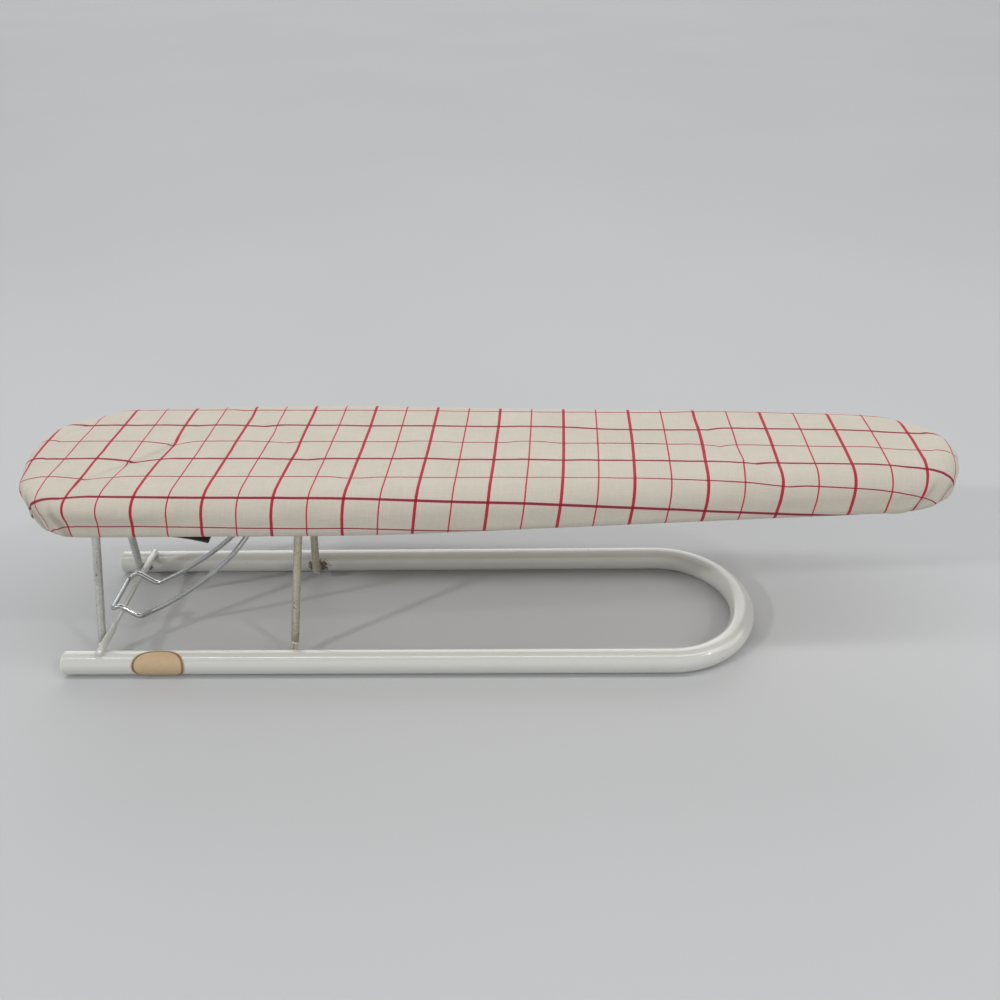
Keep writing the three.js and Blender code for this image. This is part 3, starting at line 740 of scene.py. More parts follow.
@dataclass(frozen=True)
class Wood(Finish):
    """Bare planed beech with its flecks and yearly rings."""

    light: Triple = (0.56, 0.39, 0.235)
    dark: Triple = (0.40, 0.25, 0.135)
    fleck: Triple = (0.26, 0.15, 0.075)
    rough: Pair = (0.55, 0.72)

    def lay(self, graph: Graph) -> dict[str, object]:
        """Rings drawn out along the board, with short dark flecks between them."""
        place = graph.object_place()
        warp = graph.add("CombineXYZ", graph.fibres(place, (3.0, 14.0, 14.0), detail=3.0, roughness=0.5)).outputs[0]
        bent = graph.vector("ADD", graph.scaled(place, (2.2, 55.0, 55.0)), warp)
        waves = graph.add("TexWave", wave_type="BANDS", bands_direction="Y")
        shape = {"Vector": bent, "Scale": 0.55, "Distortion": 3.5, "Detail": 3.0, "Detail Scale": 1.4}
        rings = graph.feed_named(waves, shape).outputs["Fac"]
        colour = graph.mix(graph.remap(rings, 0.1, 0.95), self.light, self.dark)
        pores = graph.fibres(place, (130.0, 1900.0, 1900.0), detail=2.0, roughness=0.55)
        flecks = graph.remap(pores, 0.62, 0.72)
        return {
            "Base Color": graph.mix(graph.times(flecks, 0.55), colour, self.fleck),
            "Roughness": graph.between(rings, *self.rough),
            "Normal": graph.bump(graph.minus(rings, flecks), depth=0.05),
        }


@dataclass(frozen=True)
class Felt(Finish):
    """Dense matted felt."""

    light: Triple = (0.46, 0.44, 0.40)
    dark: Triple = (0.30, 0.285, 0.26)

    def lay(self, graph: Graph) -> dict[str, object]:
        """Matted fibres in two tones."""
        fibres = graph.fibres(graph.object_place(), (900.0, 1500.0, 1500.0), detail=5.0, roughness=0.7)
        return {
            "Base Color": graph.mix(graph.remap(fibres, 0.3, 0.7), self.dark, self.light),
            "Roughness": 0.95,
            "Sheen Weight": 0.3,
            "Normal": graph.bump(fibres, depth=0.3),
        }


@dataclass(frozen=True)
class CheckedCotton(Finish):
    """Cream cotton with thick and thin red lines both ways, in millimetres of its own print."""

    cream: Triple = (0.600, 0.560, 0.480)
    shade: Triple = (0.515, 0.475, 0.395)
    fleck: Triple = (0.25, 0.21, 0.16)
    warp_red: Triple = (0.36, 0.005, 0.028)
    weft_red: Triple = (0.21, 0.010, 0.028)
    crossing: Triple = (0.13, 0.006, 0.018)
    pink: Triple = (0.82, 0.36, 0.38)
    # Painted shade: the dark tone laid into the cloth's folds and creases.
    painted_fold_shade: Triple = (0.10, 0.085, 0.075)
    line_pitch: float = 19.8
    thick: float = 1.7
    thin: float = 0.8
    soft_edge: float = 0.16
    fringe: float = 0.8

    def stripes(self, graph: Graph, across: Socket, wobble: Socket) -> tuple[Socket, Socket]:
        """Alternating thick and thin lines across one way of the cloth.

        Args:
            graph: The material's nodes.
            across: The flat cloth's place across the lines, in millimetres.
            wobble: A small uneven shift of the lines' edges.

        Returns:
            The mask of the lines and the mask of their faint fringe.
        """
        from_thick = graph.math("PINGPONG", across, self.line_pitch)
        from_thin = graph.minus(self.line_pitch, from_thick)
        near = graph.math("MINIMUM", graph.minus(from_thick, self.thick / 2), graph.minus(from_thin, self.thin / 2))
        edge = graph.plus(near, wobble)
        line = graph.remap(edge, -self.soft_edge, self.soft_edge, 1.0, 0.0)
        return line, graph.remap(edge, 0.0, self.fringe, 1.0, 0.0)

    def lay(self, graph: Graph) -> dict[str, object]:
        """Weave and slubs in cream, the two sets of lines, painted shade in the folds and creases, and a soft sheen.
        """
        cloth = graph.map_place("cloth")
        across, along, _ = graph.split(cloth)
        weave = graph.group(graph.effects.weave, vector=cloth, pitch=0.62, slubs=0.17)
        broad = graph.noise(cloth, 0.035, detail=3.0, roughness=0.6)
        tone = graph.plus(graph.times(weave["Tone"], 0.7), graph.times(broad, 0.3))
        colour = graph.mix(graph.remap(tone, 0.25, 0.75), self.shade, self.cream)
        flecks = graph.specks(cloth, scale=0.16, size=0.055, share=0.3)
        colour = graph.mix(graph.times(flecks, 0.55), colour, self.fleck)
        fray = graph.times(graph.minus(graph.noise(cloth, 1.1, detail=2.0, roughness=0.6), 0.5), 0.32)
        up_line, up_fringe = self.stripes(graph, across, fray)
        side_line, side_fringe = self.stripes(graph, along, fray)
        yarns = graph.remap(weave["Height"], -0.1, 0.4, 0.9, 1.0)
        # The flat attribute's third part is the painted shade of the pleats and creases.
        fold = graph.split(graph.add("Attribute", attribute_name="flat").outputs["Vector"])[2]
        for share, over in (
            (graph.times(graph.highest(up_fringe, side_fringe), 0.45), self.pink),
            (graph.times(side_line, yarns), self.weft_red),
            (graph.times(up_line, yarns), self.warp_red),
            (graph.times(graph.times(up_line, side_line), 0.5), self.crossing),
            # Painted shade darkens the cloth along its folds and creases.
            (graph.remap(fold, 0.1, 1.2, 0.0, 0.55), self.painted_fold_shade),
        ):
            colour = graph.mix(share, colour, over)
        crumple = graph.noise(cloth, 0.11, detail=4.0, roughness=0.55)
        return {
            "Base Color": colour,
            "Roughness": 0.88,
            "Specular IOR Level": 0.25,
            "Sheen Weight": 0.12,
            "Sheen Roughness": 0.5,
            "Normal": graph.bump(graph.plus(graph.times(weave["Height"], 0.3), crumple), depth=0.55),
        }


@dataclass(frozen=True)
class Webbing(Finish):
    """Black woven tape, in flat tape millimetres."""

    black: Triple = (0.012, 0.012, 0.013)
    dust: Triple = (0.05, 0.048, 0.045)

    def lay(self, graph: Graph) -> dict[str, object]:
        """A plain weave in black with dust on its high yarns."""
        weave = graph.group(graph.effects.weave, vector=graph.map_place("cloth"), pitch=0.8, slubs=0.2)
        return {
            "Base Color": graph.mix(graph.remap(weave["Height"], 0.1, 0.6), self.black, self.dust),
            "Roughness": graph.remap(weave["Tone"], 0.3, 0.7, 0.7, 0.9),
            "Sheen Weight": 0.15,
            "Normal": graph.bump(weave["Height"], depth=0.2),
        }


@dataclass(frozen=True)
class Paper(Finish):
    """A blank tan paper label with a brown border, in shares of its own width and height."""

    tan: Triple = (0.50, 0.365, 0.215)
    worn: Triple = (0.40, 0.28, 0.155)
    fibre: Triple = (0.75, 0.58, 0.36)
    border: Triple = (0.12, 0.06, 0.03)
    border_at: float = 0.93
    border_edge: Pair = (0.026, 0.050)

    def lay(self, graph: Graph) -> dict[str, object]:
        """Paper fibres, a printed oval border and rubbed patches."""
        place = graph.object_place()
        parts = graph.split(graph.map_place("label"))[:2]
        sides = [graph.math("POWER", graph.math("ABSOLUTE", part), LABEL_POWER) for part in parts]
        out = graph.math("POWER", graph.plus(*sides), 1 / LABEL_POWER)
        uneven = graph.times(graph.minus(graph.noise(place, 1500.0, detail=3.0, roughness=0.6), 0.5), 0.05)
        edge = graph.math("ABSOLUTE", graph.minus(graph.plus(out, uneven), self.border_at))
        ring = graph.remap(edge, *self.border_edge, 1.0, 0.0)
        rubbed = graph.patches(place, scale=420.0, level=0.5, softness=0.3)
        fibres = graph.fibres(place, (1400.0, 3800.0, 3800.0), detail=3.0, roughness=0.6)
        colour = graph.mix(graph.times(rubbed, 0.6), self.tan, self.worn)
        colour = graph.mix(graph.remap(fibres, 0.55, 0.8, 0.0, 0.35), colour, self.fibre)
        return {
            "Base Color": graph.mix(graph.times(ring, 0.85), colour, self.border),
            "Roughness": graph.between(rubbed, 0.55, 0.8),
            "Normal": graph.bump(fibres, depth=0.03),
        }


@dataclass(frozen=True)
class Backdrop(Finish):
    """The matt pale sheet that the board stands on."""

    colour: Triple = (0.52, 0.525, 0.53)
    low_share: float = 0.97

    def lay(self, graph: Graph) -> dict[str, object]:
        """One pale tone with barely seen clouds."""
        cloud = graph.remap(graph.noise(graph.object_place(), 1.7), 0.3, 0.7)
        low = tuple(self.low_share * part for part in self.colour)
        return {"Base Color": graph.mix(cloud, low, self.colour), "Roughness": 0.75, "Specular IOR Level": 0.2}


# The board's outline and soft shell


@dataclass
class BoardOutline:
    """The plan of plank, padding and cover: half ellipses joined by straight and tapering sides."""

    heel_depth: float = 47.5
    nose_depth: float = 45.9
    nose_width: float = 76.0
    straight_run: float = 182.4
    taper_blend: float = 60.0
    fine_steps: int = 900

    def __post_init__(self) -> None:
        """Reads the plank's box."""
        low, high = box_mm("wooden_plank")
        self.left, self.right, self.half = low.x, high.x, high.y
        self.heel_x = self.left + self.heel_depth
        self.nose_x = self.right - self.nose_depth
        self.taper_x = self.left + self.straight_run

    def half_width(self, x: float) -> float:
        """Half the board's width at a place along it."""
        blend, past = self.taper_blend, max(x - self.taper_x, 0.0)
        eased = past * past / (2 * blend) if past < blend else past - blend / 2
        run = self.nose_x - self.taper_x - blend / 2
        return self.half - (self.half - self.nose_width / 2) * eased / run

    def chain(self, start: float, end: float, nose: bool) -> list[Vector]:
        """Points of one end's ellipse between two angles in degrees."""
        centre, depth, half = self.heel_x, self.heel_depth, self.half
        if nose:
            centre, depth, half = self.nose_x, self.nose_depth, self.nose_width / 2
        turns = arc(start, end, self.fine_steps)
        return [Vector((centre + depth * cosine, half * sine, 0)) for sine, cosine in turns]

    def side(self) -> list[Vector]:
        """Points of the front side, from heel to nose."""
        span = self.nose_x - self.heel_x
        points = [self.heel_x + span * i / self.fine_steps for i in range(self.fine_steps + 1)]
        return [Vector((x, -self.half_width(x), 0)) for x in points]

    def loop(self, long_count: int, end_count: int) -> tuple[list[Vector], list[Vector], list[float]]:
        """The outline as evenly spaced points, from the heel's front corner along the front.

        Args:
            long_count: Steps along the front, and again along the rear.
            end_count: Steps round the nose, and again round the heel.

        Returns:
            The points, their outward directions and the distance walked at each.
        """
        front = self.chain(225, 270, False)[:-1] + self.side() + self.chain(-90, -45, True)[1:]
        rear = [Vector((p.x, -p.y, 0)) for p in reversed(front)]
        nose, heel = self.chain(-45, 45, True), self.chain(135, 225, False)
        points: list[Vector] = []
        for line, count in ((front, long_count), (nose, end_count), (rear, long_count), (heel, end_count)):
            walked, step = lengths_along(line), 0
            for i in range(count):
                goal = walked[-1] * i / count
                while walked[step + 1] < goal:
                    step += 1
                share = (goal - walked[step]) / max(walked[step + 1] - walked[step], 1e-9)
                points.append(line[step].lerp(line[step + 1], share))
        outwards = []
        for i, before in enumerate(points[-1:] + points[:-1]):
            tangent = points[(i + 1) % len(points)] - before
            outwards.append(Vector((tangent.y, -tangent.x, 0)).normalized())
        return points, outwards, lengths_along(points)


@dataclass(frozen=True)
class Spot:
    """One point of a shell: where it is on the flat cloth and on the board."""

    flat: Vector
    base: Vector
    normal: Vector
    outwards: Vector
    along: float
    depth: float
    share: float


@dataclass
class Shell:
    """A skin over the board: a patch on top, then ring after ring over the edge."""

    outline: BoardOutline
    long_count: int
    end_count: int
    inset: float
    top: float
    crown: float
    profile: list[Pair]
    stretch: float = 1.0

    def crown_at(self, s: float, t: float) -> float:
        """How high the patch stands over its rim, from its two shares."""
        across = abs(2 * t - 1)
        lengthwise = max(0.0, 1 - min(s, 1 - s) * self.long_count / self.end_count * 1.3)
        out = min((across ** 4 + lengthwise ** 4) ** 0.25, 1.0)
        return self.crown * (1 - out ** 2.5)

    def patch_point(self, rim: Sequence[Vector], s: float, t: float) -> Vector:
        """A point of the patch between its four chains, by their shares."""
        long_, end = self.long_count, self.end_count
        front, nose = rim[round(s * long_)], rim[long_ + round(t * end)]
        rear = rim[(long_ + end + round((1 - s) * long_)) % len(rim)]
        heel = rim[(2 * long_ + end + round((1 - t) * end)) % len(rim)]
        corners = [rim[0], rim[long_], rim[long_ + end], rim[2 * long_ + end]]
        shares = [(1 - s, 1 - t), (s, 1 - t), (s, t), (1 - s, t)]
        blend = front * (1 - t) + rear * t + heel * (1 - s) + nose * s
        return blend - sum((corner * a * b for corner, (a, b) in zip(corners, shares)), Vector((0, 0, 0)))

    def rim_number(self, i: int, j: int) -> int:
        """The outline number, from 1, of a grid vertex on the patch's rim, or 0 inside."""
        long_, end = self.long_count, self.end_count
        if j == 0:
            return i + 1
        if i == long_:
            return long_ + j + 1
        if j == end:
            return long_ + end + (long_ - i) + 1
        return 2 * long_ + end + (end - j) + 1 if i == 0 else 0

    def build(self, shape: Callable[[Spot], tuple[Vector, Vector]], closed: bool) -> BMesh:
        """Makes the skin.

        Args:
            shape: Gives a point's place and its place on the flat cloth, from its spot.
            closed: Whether the last ring is filled, as on padding.

        Returns:
            The skin, with a UV map of flat cloth millimetres.
        """
        points, outwards, walked = self.outline.loop(self.long_count, self.end_count)
        rim = [p - n * self.inset for p, n in zip(points, outwards)]
        bm = bmesh.new()
        flat_layer = bm.verts.layers.float_vector.new("flat")
        ring_layer = bm.verts.layers.int.new("ring")
        grid = bmesh.ops.create_grid(bm, x_segments=self.long_count, y_segments=self.end_count, size=1)["verts"]
        for vert in grid:
            s, t = (vert.co.x + 1) / 2, (vert.co.y + 1) / 2
            i, j = round(s * self.long_count), round(t * self.end_count)
            vert[ring_layer] = self.rim_number(i, j)
            i_share, j_share = i / self.long_count, j / self.end_count
            flat = self.patch_point(rim, i_share, j_share)
            base = Vector((flat.x, flat.y, self.top - self.crown + self.crown_at(i_share, j_share)))
            side = Vector((0, math.copysign(1, flat.y), 0))
            vert.co, vert[flat_layer] = shape(Spot(flat, base, UP, side, 0.0, 0.0, abs(2 * t - 1)))
        edges = [e for e in bm.edges if e.is_boundary]
        depths = lengths_along(self.profile)
        for number in range(1, len(self.profile)):
            before, (inward, z) = self.profile[number - 1], self.profile[number]
            ahead = self.profile[min(number + 1, len(self.profile) - 1)]
            run, drop = before[0] - ahead[0], before[1] - ahead[1]
            depth = depths[number]
            verts, edges, _ = grow_ring(bm, edges)
            for vert in verts:
                k = vert[ring_layer] - 1
                out = outwards[k]
                base = points[k] - out * inward + UP * z
                flat = rim[k] + out * depth * self.stretch
                normal = (out * drop + UP * run) / math.hypot(run, drop)
                spot = Spot(flat, base, normal, out, walked[k], depth, depth / depths[-1])
                vert.co, vert[flat_layer] = shape(spot)
        if closed:
            bmesh.ops.edgeloop_fill(bm, edges=edges)
        lay_map(bm, "cloth", lambda vert: vert[flat_layer].xy)
        return bm


@dataclass(frozen=True)
class Crease:
    """A shallow fold across the cloth's top, which draws the print towards the front on both its sides and lays
    painted shade along the fold.

    Its points run from front to rear, each with its place and the print's pull, in millimetres.
    """

    points: tuple[Triple, ...]
    before: float = 18.0
    after: float = 12.0
    height: float = 0.17
    lip_reach: float = 6.0
    hollow_reach: float = 3.5
    hollow_share: float = 0.6
    shade: float = 0.45
    shade_width: float = 1.3
    shade_offset: float = 0.5
    full_pull: float = 4.0

    def nearest(self, place: Vector) -> Pair:
        """The distance to the crease, more than 0 on its left, and the pull at its nearest point."""
        best, pull = 1e9, 0.0
        for (ax, ay, a_pull), (bx, by, b_pull) in zip(self.points, self.points[1:]):
            run, gap = Vector((bx - ax, by - ay)), Vector((place.x - ax, place.y - ay))
            share = min(max(gap.dot(run) / run.length_squared, 0.0), 1.0)
            away = gap - run * share
            if away.length < abs(best):
                best = math.copysign(away.length, run.x * gap.y - run.y * gap.x)
                pull = a_pull + (b_pull - a_pull) * share
        return best, pull

    def shift(self, place: Vector) -> float:
        """How far the print is drawn at a place."""
        distance, pull = self.nearest(place)
        reach = self.before if distance > 0 else self.after
        return pull * max(1 - abs(distance) / reach, 0.0) ** 1.5

    def fold(self, place: Vector) -> float:
        """How much painted shade the crease lays on a place, darkest in its fold."""
        distance, pull = self.nearest(place)
        dark = gauss(distance + self.shade_offset, self.shade_width)
        return self.shade * dark * min(pull / self.full_pull, 1.0) ** 2

    def relief(self, place: Vector) -> float:
        """How high the cloth stands there: a lip on the left and a hollow on the right."""
        distance, pull = self.nearest(place)
        left = smoothstep(-1.0, 1.0, distance)
        lip = left * math.exp(-abs(distance) / self.lip_reach)
        hollow = self.hollow_share * (1 - left) * math.exp(-abs(distance) / self.hollow_reach)
        return self.height * pull * (lip - hollow)


@dataclass(frozen=True)
class Pleat:
    """A gathered fold down the cover's side: its place round the edge, width, height, start and slant."""

    place: float
    width: float
    height: float
    start: float
    slant: float
    upright_depth: float = 20.0
    fade_in: float = 10.0
    steep_share: float = 0.35
    gentle_share: float = 1.8
    full_height: float = 1.2
    groove: float = 0.3
    groove_share: float = 0.45
    shade: float = 0.65
    shade_share: float = 0.9

    def at(self, along: float, depth: float, around: float) -> Pair:
        """How far it pushes the side out at a place, and how much painted shade its fold lays on the place."""
        lean = self.slant * (depth - self.upright_depth)
        gap = (along - self.place - lean + around / 2) % around - around / 2
        if abs(gap) >= self.width * 4:
            return 0.0, 0.0
        begun = smoothstep(self.start, self.start + self.fade_in, depth)
        bulge = self.height * gauss(gap, self.width * (self.steep_share if gap > 0 else self.gentle_share))
        deep, across = min(self.height, self.full_height) * begun, gap - 0.5 * self.width
        push = bulge * begun - self.groove * deep * gauss(across, self.groove_share * self.width)
        return push, self.shade * deep * gauss(across, self.shade_share * self.width)


class Measure(Enum):
    """What a bulge's height fades with."""

    PLACE_X = "x"
    OUT_X = "out x"
    OUT_Y = "out y"
    DEPTH = "depth"


@dataclass(frozen=True)
class Bulge:
    """A fuller part of the cover's edge.

    Each fade names a measure, and the values at which the bulge is gone and whole.
    """

    height: float
    fades: tuple[tuple[Measure, float, float], ...]
    depth: Optional[Pair] = None

    def at(self, measures: dict[Measure, float]) -> float:
        """How much fuller the edge is at a spot."""
        height = self.height
        for measure, gone, whole in self.fades:
            height *= smoothstep(gone, whole, measures[measure])
        if self.depth:
            middle, width = self.depth
            height *= gauss(measures[Measure.DEPTH] - middle, width)
        return height


@dataclass
class ClothCover:
    """The checked cotton cover, drawn over the padding and tacked under the plank.

    The across and along terms turn a place on the board into one on the print, and each drift
    moves the print: its middle, its reach both ways and how far.
    """

    outline: BoardOutline
    thickness: float = 0.7
    edge_radius: float = 3.8
    hem_width: float = 18.0
    shoulder_width: float = 14.0
    shoulder_drop: float = 11.6
    shoulder_steps: int = 14
    side_steps: int = 7
    fold_steps: int = 4
    hem_steps: int = 7
    edge_stretch: float = 1.06
    side_draw: float = 0.35
    crown: float = 0.35
    long_count: int = 330
    end_count: int = 52
    seed: int = 7
    end_reach: float = 55.0
    end_start: float = 12.0
    pleat_gap: float = 6.5
    area_share: float = 0.9
    smoothing: float = 0.25
    rear_full: float = 1.3
    rear_swell: float = 1.4
    swells: tuple[Pair, ...] = ((-125, 85), (135, 85))
    rear_depth: Pair = (11, 7)
    top_fade: float = 20.0
    pucker_fade: float = 60.0
    pucker_start: float = 30.0
    pucker: float = 0.6
    side_wave: float = 0.3
    sink: float = 0.15
    tuck: float = 5.0
    hem_stand: float = 0.9
    hem_pleats: float = 0.3
    raw_edge: float = 0.985
    ragged: float = 0.9
    sideways_pull: float = 0.45
    wander: float = 0.35
    corner_pleats: tuple[Pleat, ...] = (
        Pleat(4.4, 3.2, 1.2, 8.0, 0.8),
        Pleat(24.3, 3.2, 1.2, 8.0, 0.37),
        Pleat(1183.0, 3.0, 1.0, 8.0, 0.5),
        Pleat(14.0, 2.6, 0.7, 10.0, 0.6),
        Pleat(522.0, 3.2, 0.9, 12.0, -0.7),
        Pleat(533.0, 2.6, 0.7, 14.0, -0.5),
        Pleat(508.0, 3.6, 0.8, 10.0, -0.9),
    )
    bulges: tuple[Bulge, ...] = (
        Bulge(3.7, ((Measure.OUT_X, -0.15, -0.7), (Measure.OUT_Y, -0.6, 0.2), (Measure.OUT_Y, 0.9, 0.4)), (12, 9)),
        Bulge(2.3, ((Measure.OUT_X, 0.2, 0.8), (Measure.OUT_Y, 0.9, 0.4)), (18, 14)),
        Bulge(2.2, ((Measure.PLACE_X, -160, -225), (Measure.OUT_Y, -0.1, -0.6)), (14, 6)),
        Bulge(1.1, ((Measure.DEPTH, 16, 26), (Measure.PLACE_X, -200, -120), (Measure.OUT_Y, -0.2, -0.8))),
    )
    across_terms: tuple[float, ...] = (231.1, 271.49, -2.87, -5.51, 1.56, 1.09)
    along_terms: tuple[float, ...] = (56.61, 9.23, 61.62, 2.5, 1.83, -1.04)
    print_scale: Pair = (270.0, 60.0)
    creases: tuple[Crease, ...] = (
        Crease(
            ((-234.0, -54.0, 1.0), (-226.0, -34.0, 3.5), (-204.2, -15.7, 4.6), (-187.0, 3.0, 5.6),
             (-179.0, 25.8, 1.2), (-176.0, 37.0, 0.0)),
            before=20.0, after=15.0,
        ),
        Crease(
            ((-94.0, -26.0, 0.0), (-102.9, -14.8, 1.5), (-119.1, 3.8, 2.0), (-154.5, 44.7, 1.3), (-157.0, 49.0, 0.0)),
        ),
        Crease(
            ((180.0, -54.0, 0.0), (172.1, -46.1, 1.0), (153.2, -26.2, 2.6), (135.5, -7.2, 3.0),
             (131.0, 15.0, 1.6), (128.0, 27.0, 0.0)),
            before=15.0, after=10.0,
        ),
    )
    drifts: tuple[tuple[float, float, float, float, float], ...] = (
        (93.0, 17.0, 37.0, 9.0, 3.2), (254.0, -12.0, 30.0, 42.0, 3.4), (186.0, -14.0, 30.0, 13.0, 1.6),
        (75.0, -42.0, 66.0, 16.0, -1.1), (-33.0, -3.0, 13.0, 13.0, -1.7), (27.0, 0.0, 12.0, 13.0, -1.8),
        (-72.0, -33.0, 10.0, 8.0, 1.3), (175.0, 42.0, 60.0, 12.0, -2.6),
    )

    def __post_init__(self) -> None:
        """Reads the cover's box, walks its section and settles the pleats."""
        low, high = box_mm("cloth_cover")
        self.low, self.high = low.z, high.z
        self.offset = high.y - self.outline.half
        points, _, walked = self.outline.loop(self.long_count, self.end_count)
        self.around = walked[-1] + (points[0] - points[-1]).length
        self.section = self.profile()
        self.section_lengths = lengths_along(self.section)
        self.side_end = self.section_lengths[self.shoulder_steps + self.side_steps]
        random = Random(self.seed)
        self.pleats = list(self.corner_pleats)
        place = 0.0
        while place < self.around:
            x = points[min(range(len(walked)), key=lambda k: abs(walked[k] - place))].x
            past = max(self.outline.heel_x - x + self.end_start, x - self.outline.nose_x + self.end_start, 0.0)
            at_end = past / self.end_reach
            if at_end > 0.05:
                height = (0.3 + 0.5 * random.random()) * min(at_end * 1.6, 1.0)
                width, start = 1.5 + 1.5 * random.random(), 6 + 12 * random.random()
                self.pleats.append(Pleat(place, width, height, start, random.uniform(-0.3, 0.3)))
            place += self.pleat_gap + self.pleat_gap * random.random()

    def shoulder(self, steps: int, below: float) -> list[Pair]:
        """The section's round edge in so many steps, or a line at a distance below it."""
        wide, drop = self.shoulder_width, self.shoulder_drop
        points = []
        for sine, cosine in arc(0, 90, steps):
            size = math.hypot(drop * sine, wide * cosine)
            inward = wide * (1 - sine) - self.offset + below * drop * sine / size
            points.append((inward, self.high - self.crown - drop * (1 - cosine) - below * wide * cosine / size))
        return points

    def profile(self) -> list[Pair]:
        """The cover's section from the rim of its top to the hem's raw edge."""
        out, radius = -self.offset, self.edge_radius
        z_top, z_fold = self.high - self.crown - self.shoulder_drop, self.low + radius
        section = self.shoulder(self.shoulder_steps, 0.0)
        for i in range(1, self.side_steps + 1):
            share = i / self.side_steps
            drawn = self.side_draw * math.sin(math.pi * share) ** 2 * 0.5
            section.append((out + drawn, z_top + (z_fold - z_top) * share))
        for sine, cosine in arc(0, 90, self.fold_steps, first=1):
            section.append((out + radius * (1 - cosine), z_fold - radius * sine))
        start = out + radius
        steps = self.hem_steps
        return section + [(start + (self.hem_width - start) * i / steps, self.low) for i in range(1, steps + 1)]

    def printed(self, place: Vector) -> Vector:
        """The place on the cloth's own print, in millimetres, at a place on the flat board."""
        x, y = place.x / self.print_scale[0], place.y / self.print_scale[1]
        powers = (1.0, x, y, x * x, x * y, y * y)
        across, along = (sum(map(float.__mul__, terms, powers)) for terms in (self.across_terms, self.along_terms))
        wave = noise.noise_vector(Vector((place.x * 0.02, place.y * 0.03, 3.7)))
        pull = sum(crease.shift(place) for crease in self.creases)
        drift = 0.0
        for at_x, at_y, long_, wide, amount in self.drifts:
            drift += amount * math.exp(-(((place.x - at_x) / long_) ** 4) - ((place.y - at_y) / wide) ** 2)
        across += self.wander * wave.x - self.sideways_pull * pull
        return Vector((across, along + pull + drift + self.wander * wave.y, 0))

    def relief(self, place: Vector) -> float:
        """How high the top stands over its plain shape at a place."""
        height = 0.28 * noise.noise(Vector((place.x * 0.045, place.y * 0.07, 1.3)))
        height += 0.12 * noise.noise(Vector((place.x * 0.16, place.y * 0.2, 5.1)))
        return height + sum(crease.relief(place) for crease in self.creases)

    def fullness(self, spot: Spot) -> float:
        """How much fuller than its plain section the cover's edge is at a spot."""
        x, out = spot.base.x, spot.outwards
        rear = self.rear_full + self.rear_swell * sum(gauss(x - middle, reach) for middle, reach in self.swells)
        straight = 1 - 0.7 * smoothstep(0.2, 0.6, abs(out.x))
        middle, width = self.rear_depth
        height = rear * smoothstep(0.1, 0.8, out.y) * straight * gauss(spot.depth - middle, width)
        measures = {
            Measure.PLACE_X: x, Measure.OUT_X: out.x, Measure.OUT_Y: out.y, Measure.DEPTH: spot.depth,
        }
        return height + sum(bulge.at(measures) for bulge in self.bulges)

    def place(self, spot: Spot) -> tuple[Vector, Vector]:
        """Where a point of the cloth lies, and where it was on the flat cloth, with the painted shade of its folds as
        the third part.
        """
        base, along, depth = spot.base, spot.along, spot.depth
        on_top = 1 - smoothstep(0.0, self.top_fade, depth)
        past_end = max(self.outline.heel_x - base.x, base.x - self.outline.nose_x + self.pucker_start)
        at_end = smoothstep(0.0, self.pucker_fade, past_end)
        pucker = noise.noise(Vector(((along + 1.3 * depth) * 0.17, (along - depth) * 0.04, 2.4)))
        side_wave = noise.noise(Vector((along * 0.05, depth * 0.12, 9.1)))
        # Each pleat gives its push and its painted shade, and the deepest painted shade is kept.
        found = [pleat.at(along, depth, self.around) for pleat in self.pleats]
        pleats, fold = sum(push for push, _ in found), max(0.0, *(deep for _, deep in found))
        height = self.relief(spot.flat) * on_top + self.fullness(spot)
        side = self.side_wave * side_wave + self.pucker * at_end * pucker + pleats - self.sink * (1 + at_end)
        height += (1 - on_top) * side
        under = smoothstep(self.side_end, self.side_end + self.tuck, depth)
        lowest = -0.4 if on_top < 0.5 else -2.0
        hem = self.hem_pleats * min(pleats, 1.0) + self.hem_stand
        height = max(height * (1 - under) + under * hem, lowest)
        place = base + spot.normal * height
        if under and spot.share > self.raw_edge:
            place -= spot.outwards * (self.ragged * noise.noise(Vector((along * 0.35, 4.2, 0.5))))
        print_place = self.printed(spot.flat)
        # The print place's third part carries the painted shade of the side's pleats and the top's creases.
        print_place.z = (1 - on_top) * fold + on_top * sum(crease.fold(spot.flat) for crease in self.creases)
        return place, print_place

    def build(self, looks: Looks, padding: str) -> Piece:
        size = (self.outline, self.long_count, self.end_count)
        shell = Shell(*size, self.section[0][0], self.high, self.crown, self.section, self.edge_stretch)
        bm = shell.build(self.place, closed=False)
        inside = [v for v in bm.verts if not v.is_boundary]
        axes = {f"use_axis_{axis}": True for axis in "xyz"}
        bmesh.ops.smooth_vert(bm, verts=inside, factor=self.smoothing, **axes)
        piece = finish_mesh(bm, "checked_cover", Body.BOARD, Slot.COTTON, looks, ["cloth_cover"])
        thicken(piece, "cloth_thickness", self.thickness).use_even_offset = False
        return piece


@dataclass
class Padding:
    """The felt pad on top of the plank, hidden by the cover."""

    outline: BoardOutline
    long_count: int = 110
    end_count: int = 18
    gap: float = 0.55
    lump: float = 0.15
    shoulder_steps: int = 20
    lowest: float = 0.4

    def build(self, cover: ClothCover, looks: Looks) -> Piece:
        low, _ = box_mm("felt_pad")
        shoulder = cover.shoulder(self.shoulder_steps, cover.thickness + self.gap)
        profile = [point for point in shoulder if point[1] > low.z + self.lowest][::2]
        profile.append((profile[-1][0] + 0.2, low.z))
        rim, top = profile[0]

        def soft(spot: Spot) -> tuple[Vector, Vector]:
            """A slightly lumpy felt surface."""
            lump = self.lump * noise.noise(spot.base * 0.06)
            return spot.base + spot.normal * (lump if spot.base.z > low.z + 1 else 0.0), spot.flat

        bm = Shell(self.outline, self.long_count, self.end_count, rim, top, 0.0, profile).build(soft, closed=True)
        piece = finish_mesh(bm, "felt_padding", Body.BOARD, Slot.FELT, looks, ["felt_pad"], crease=50)
        return piece


# The base


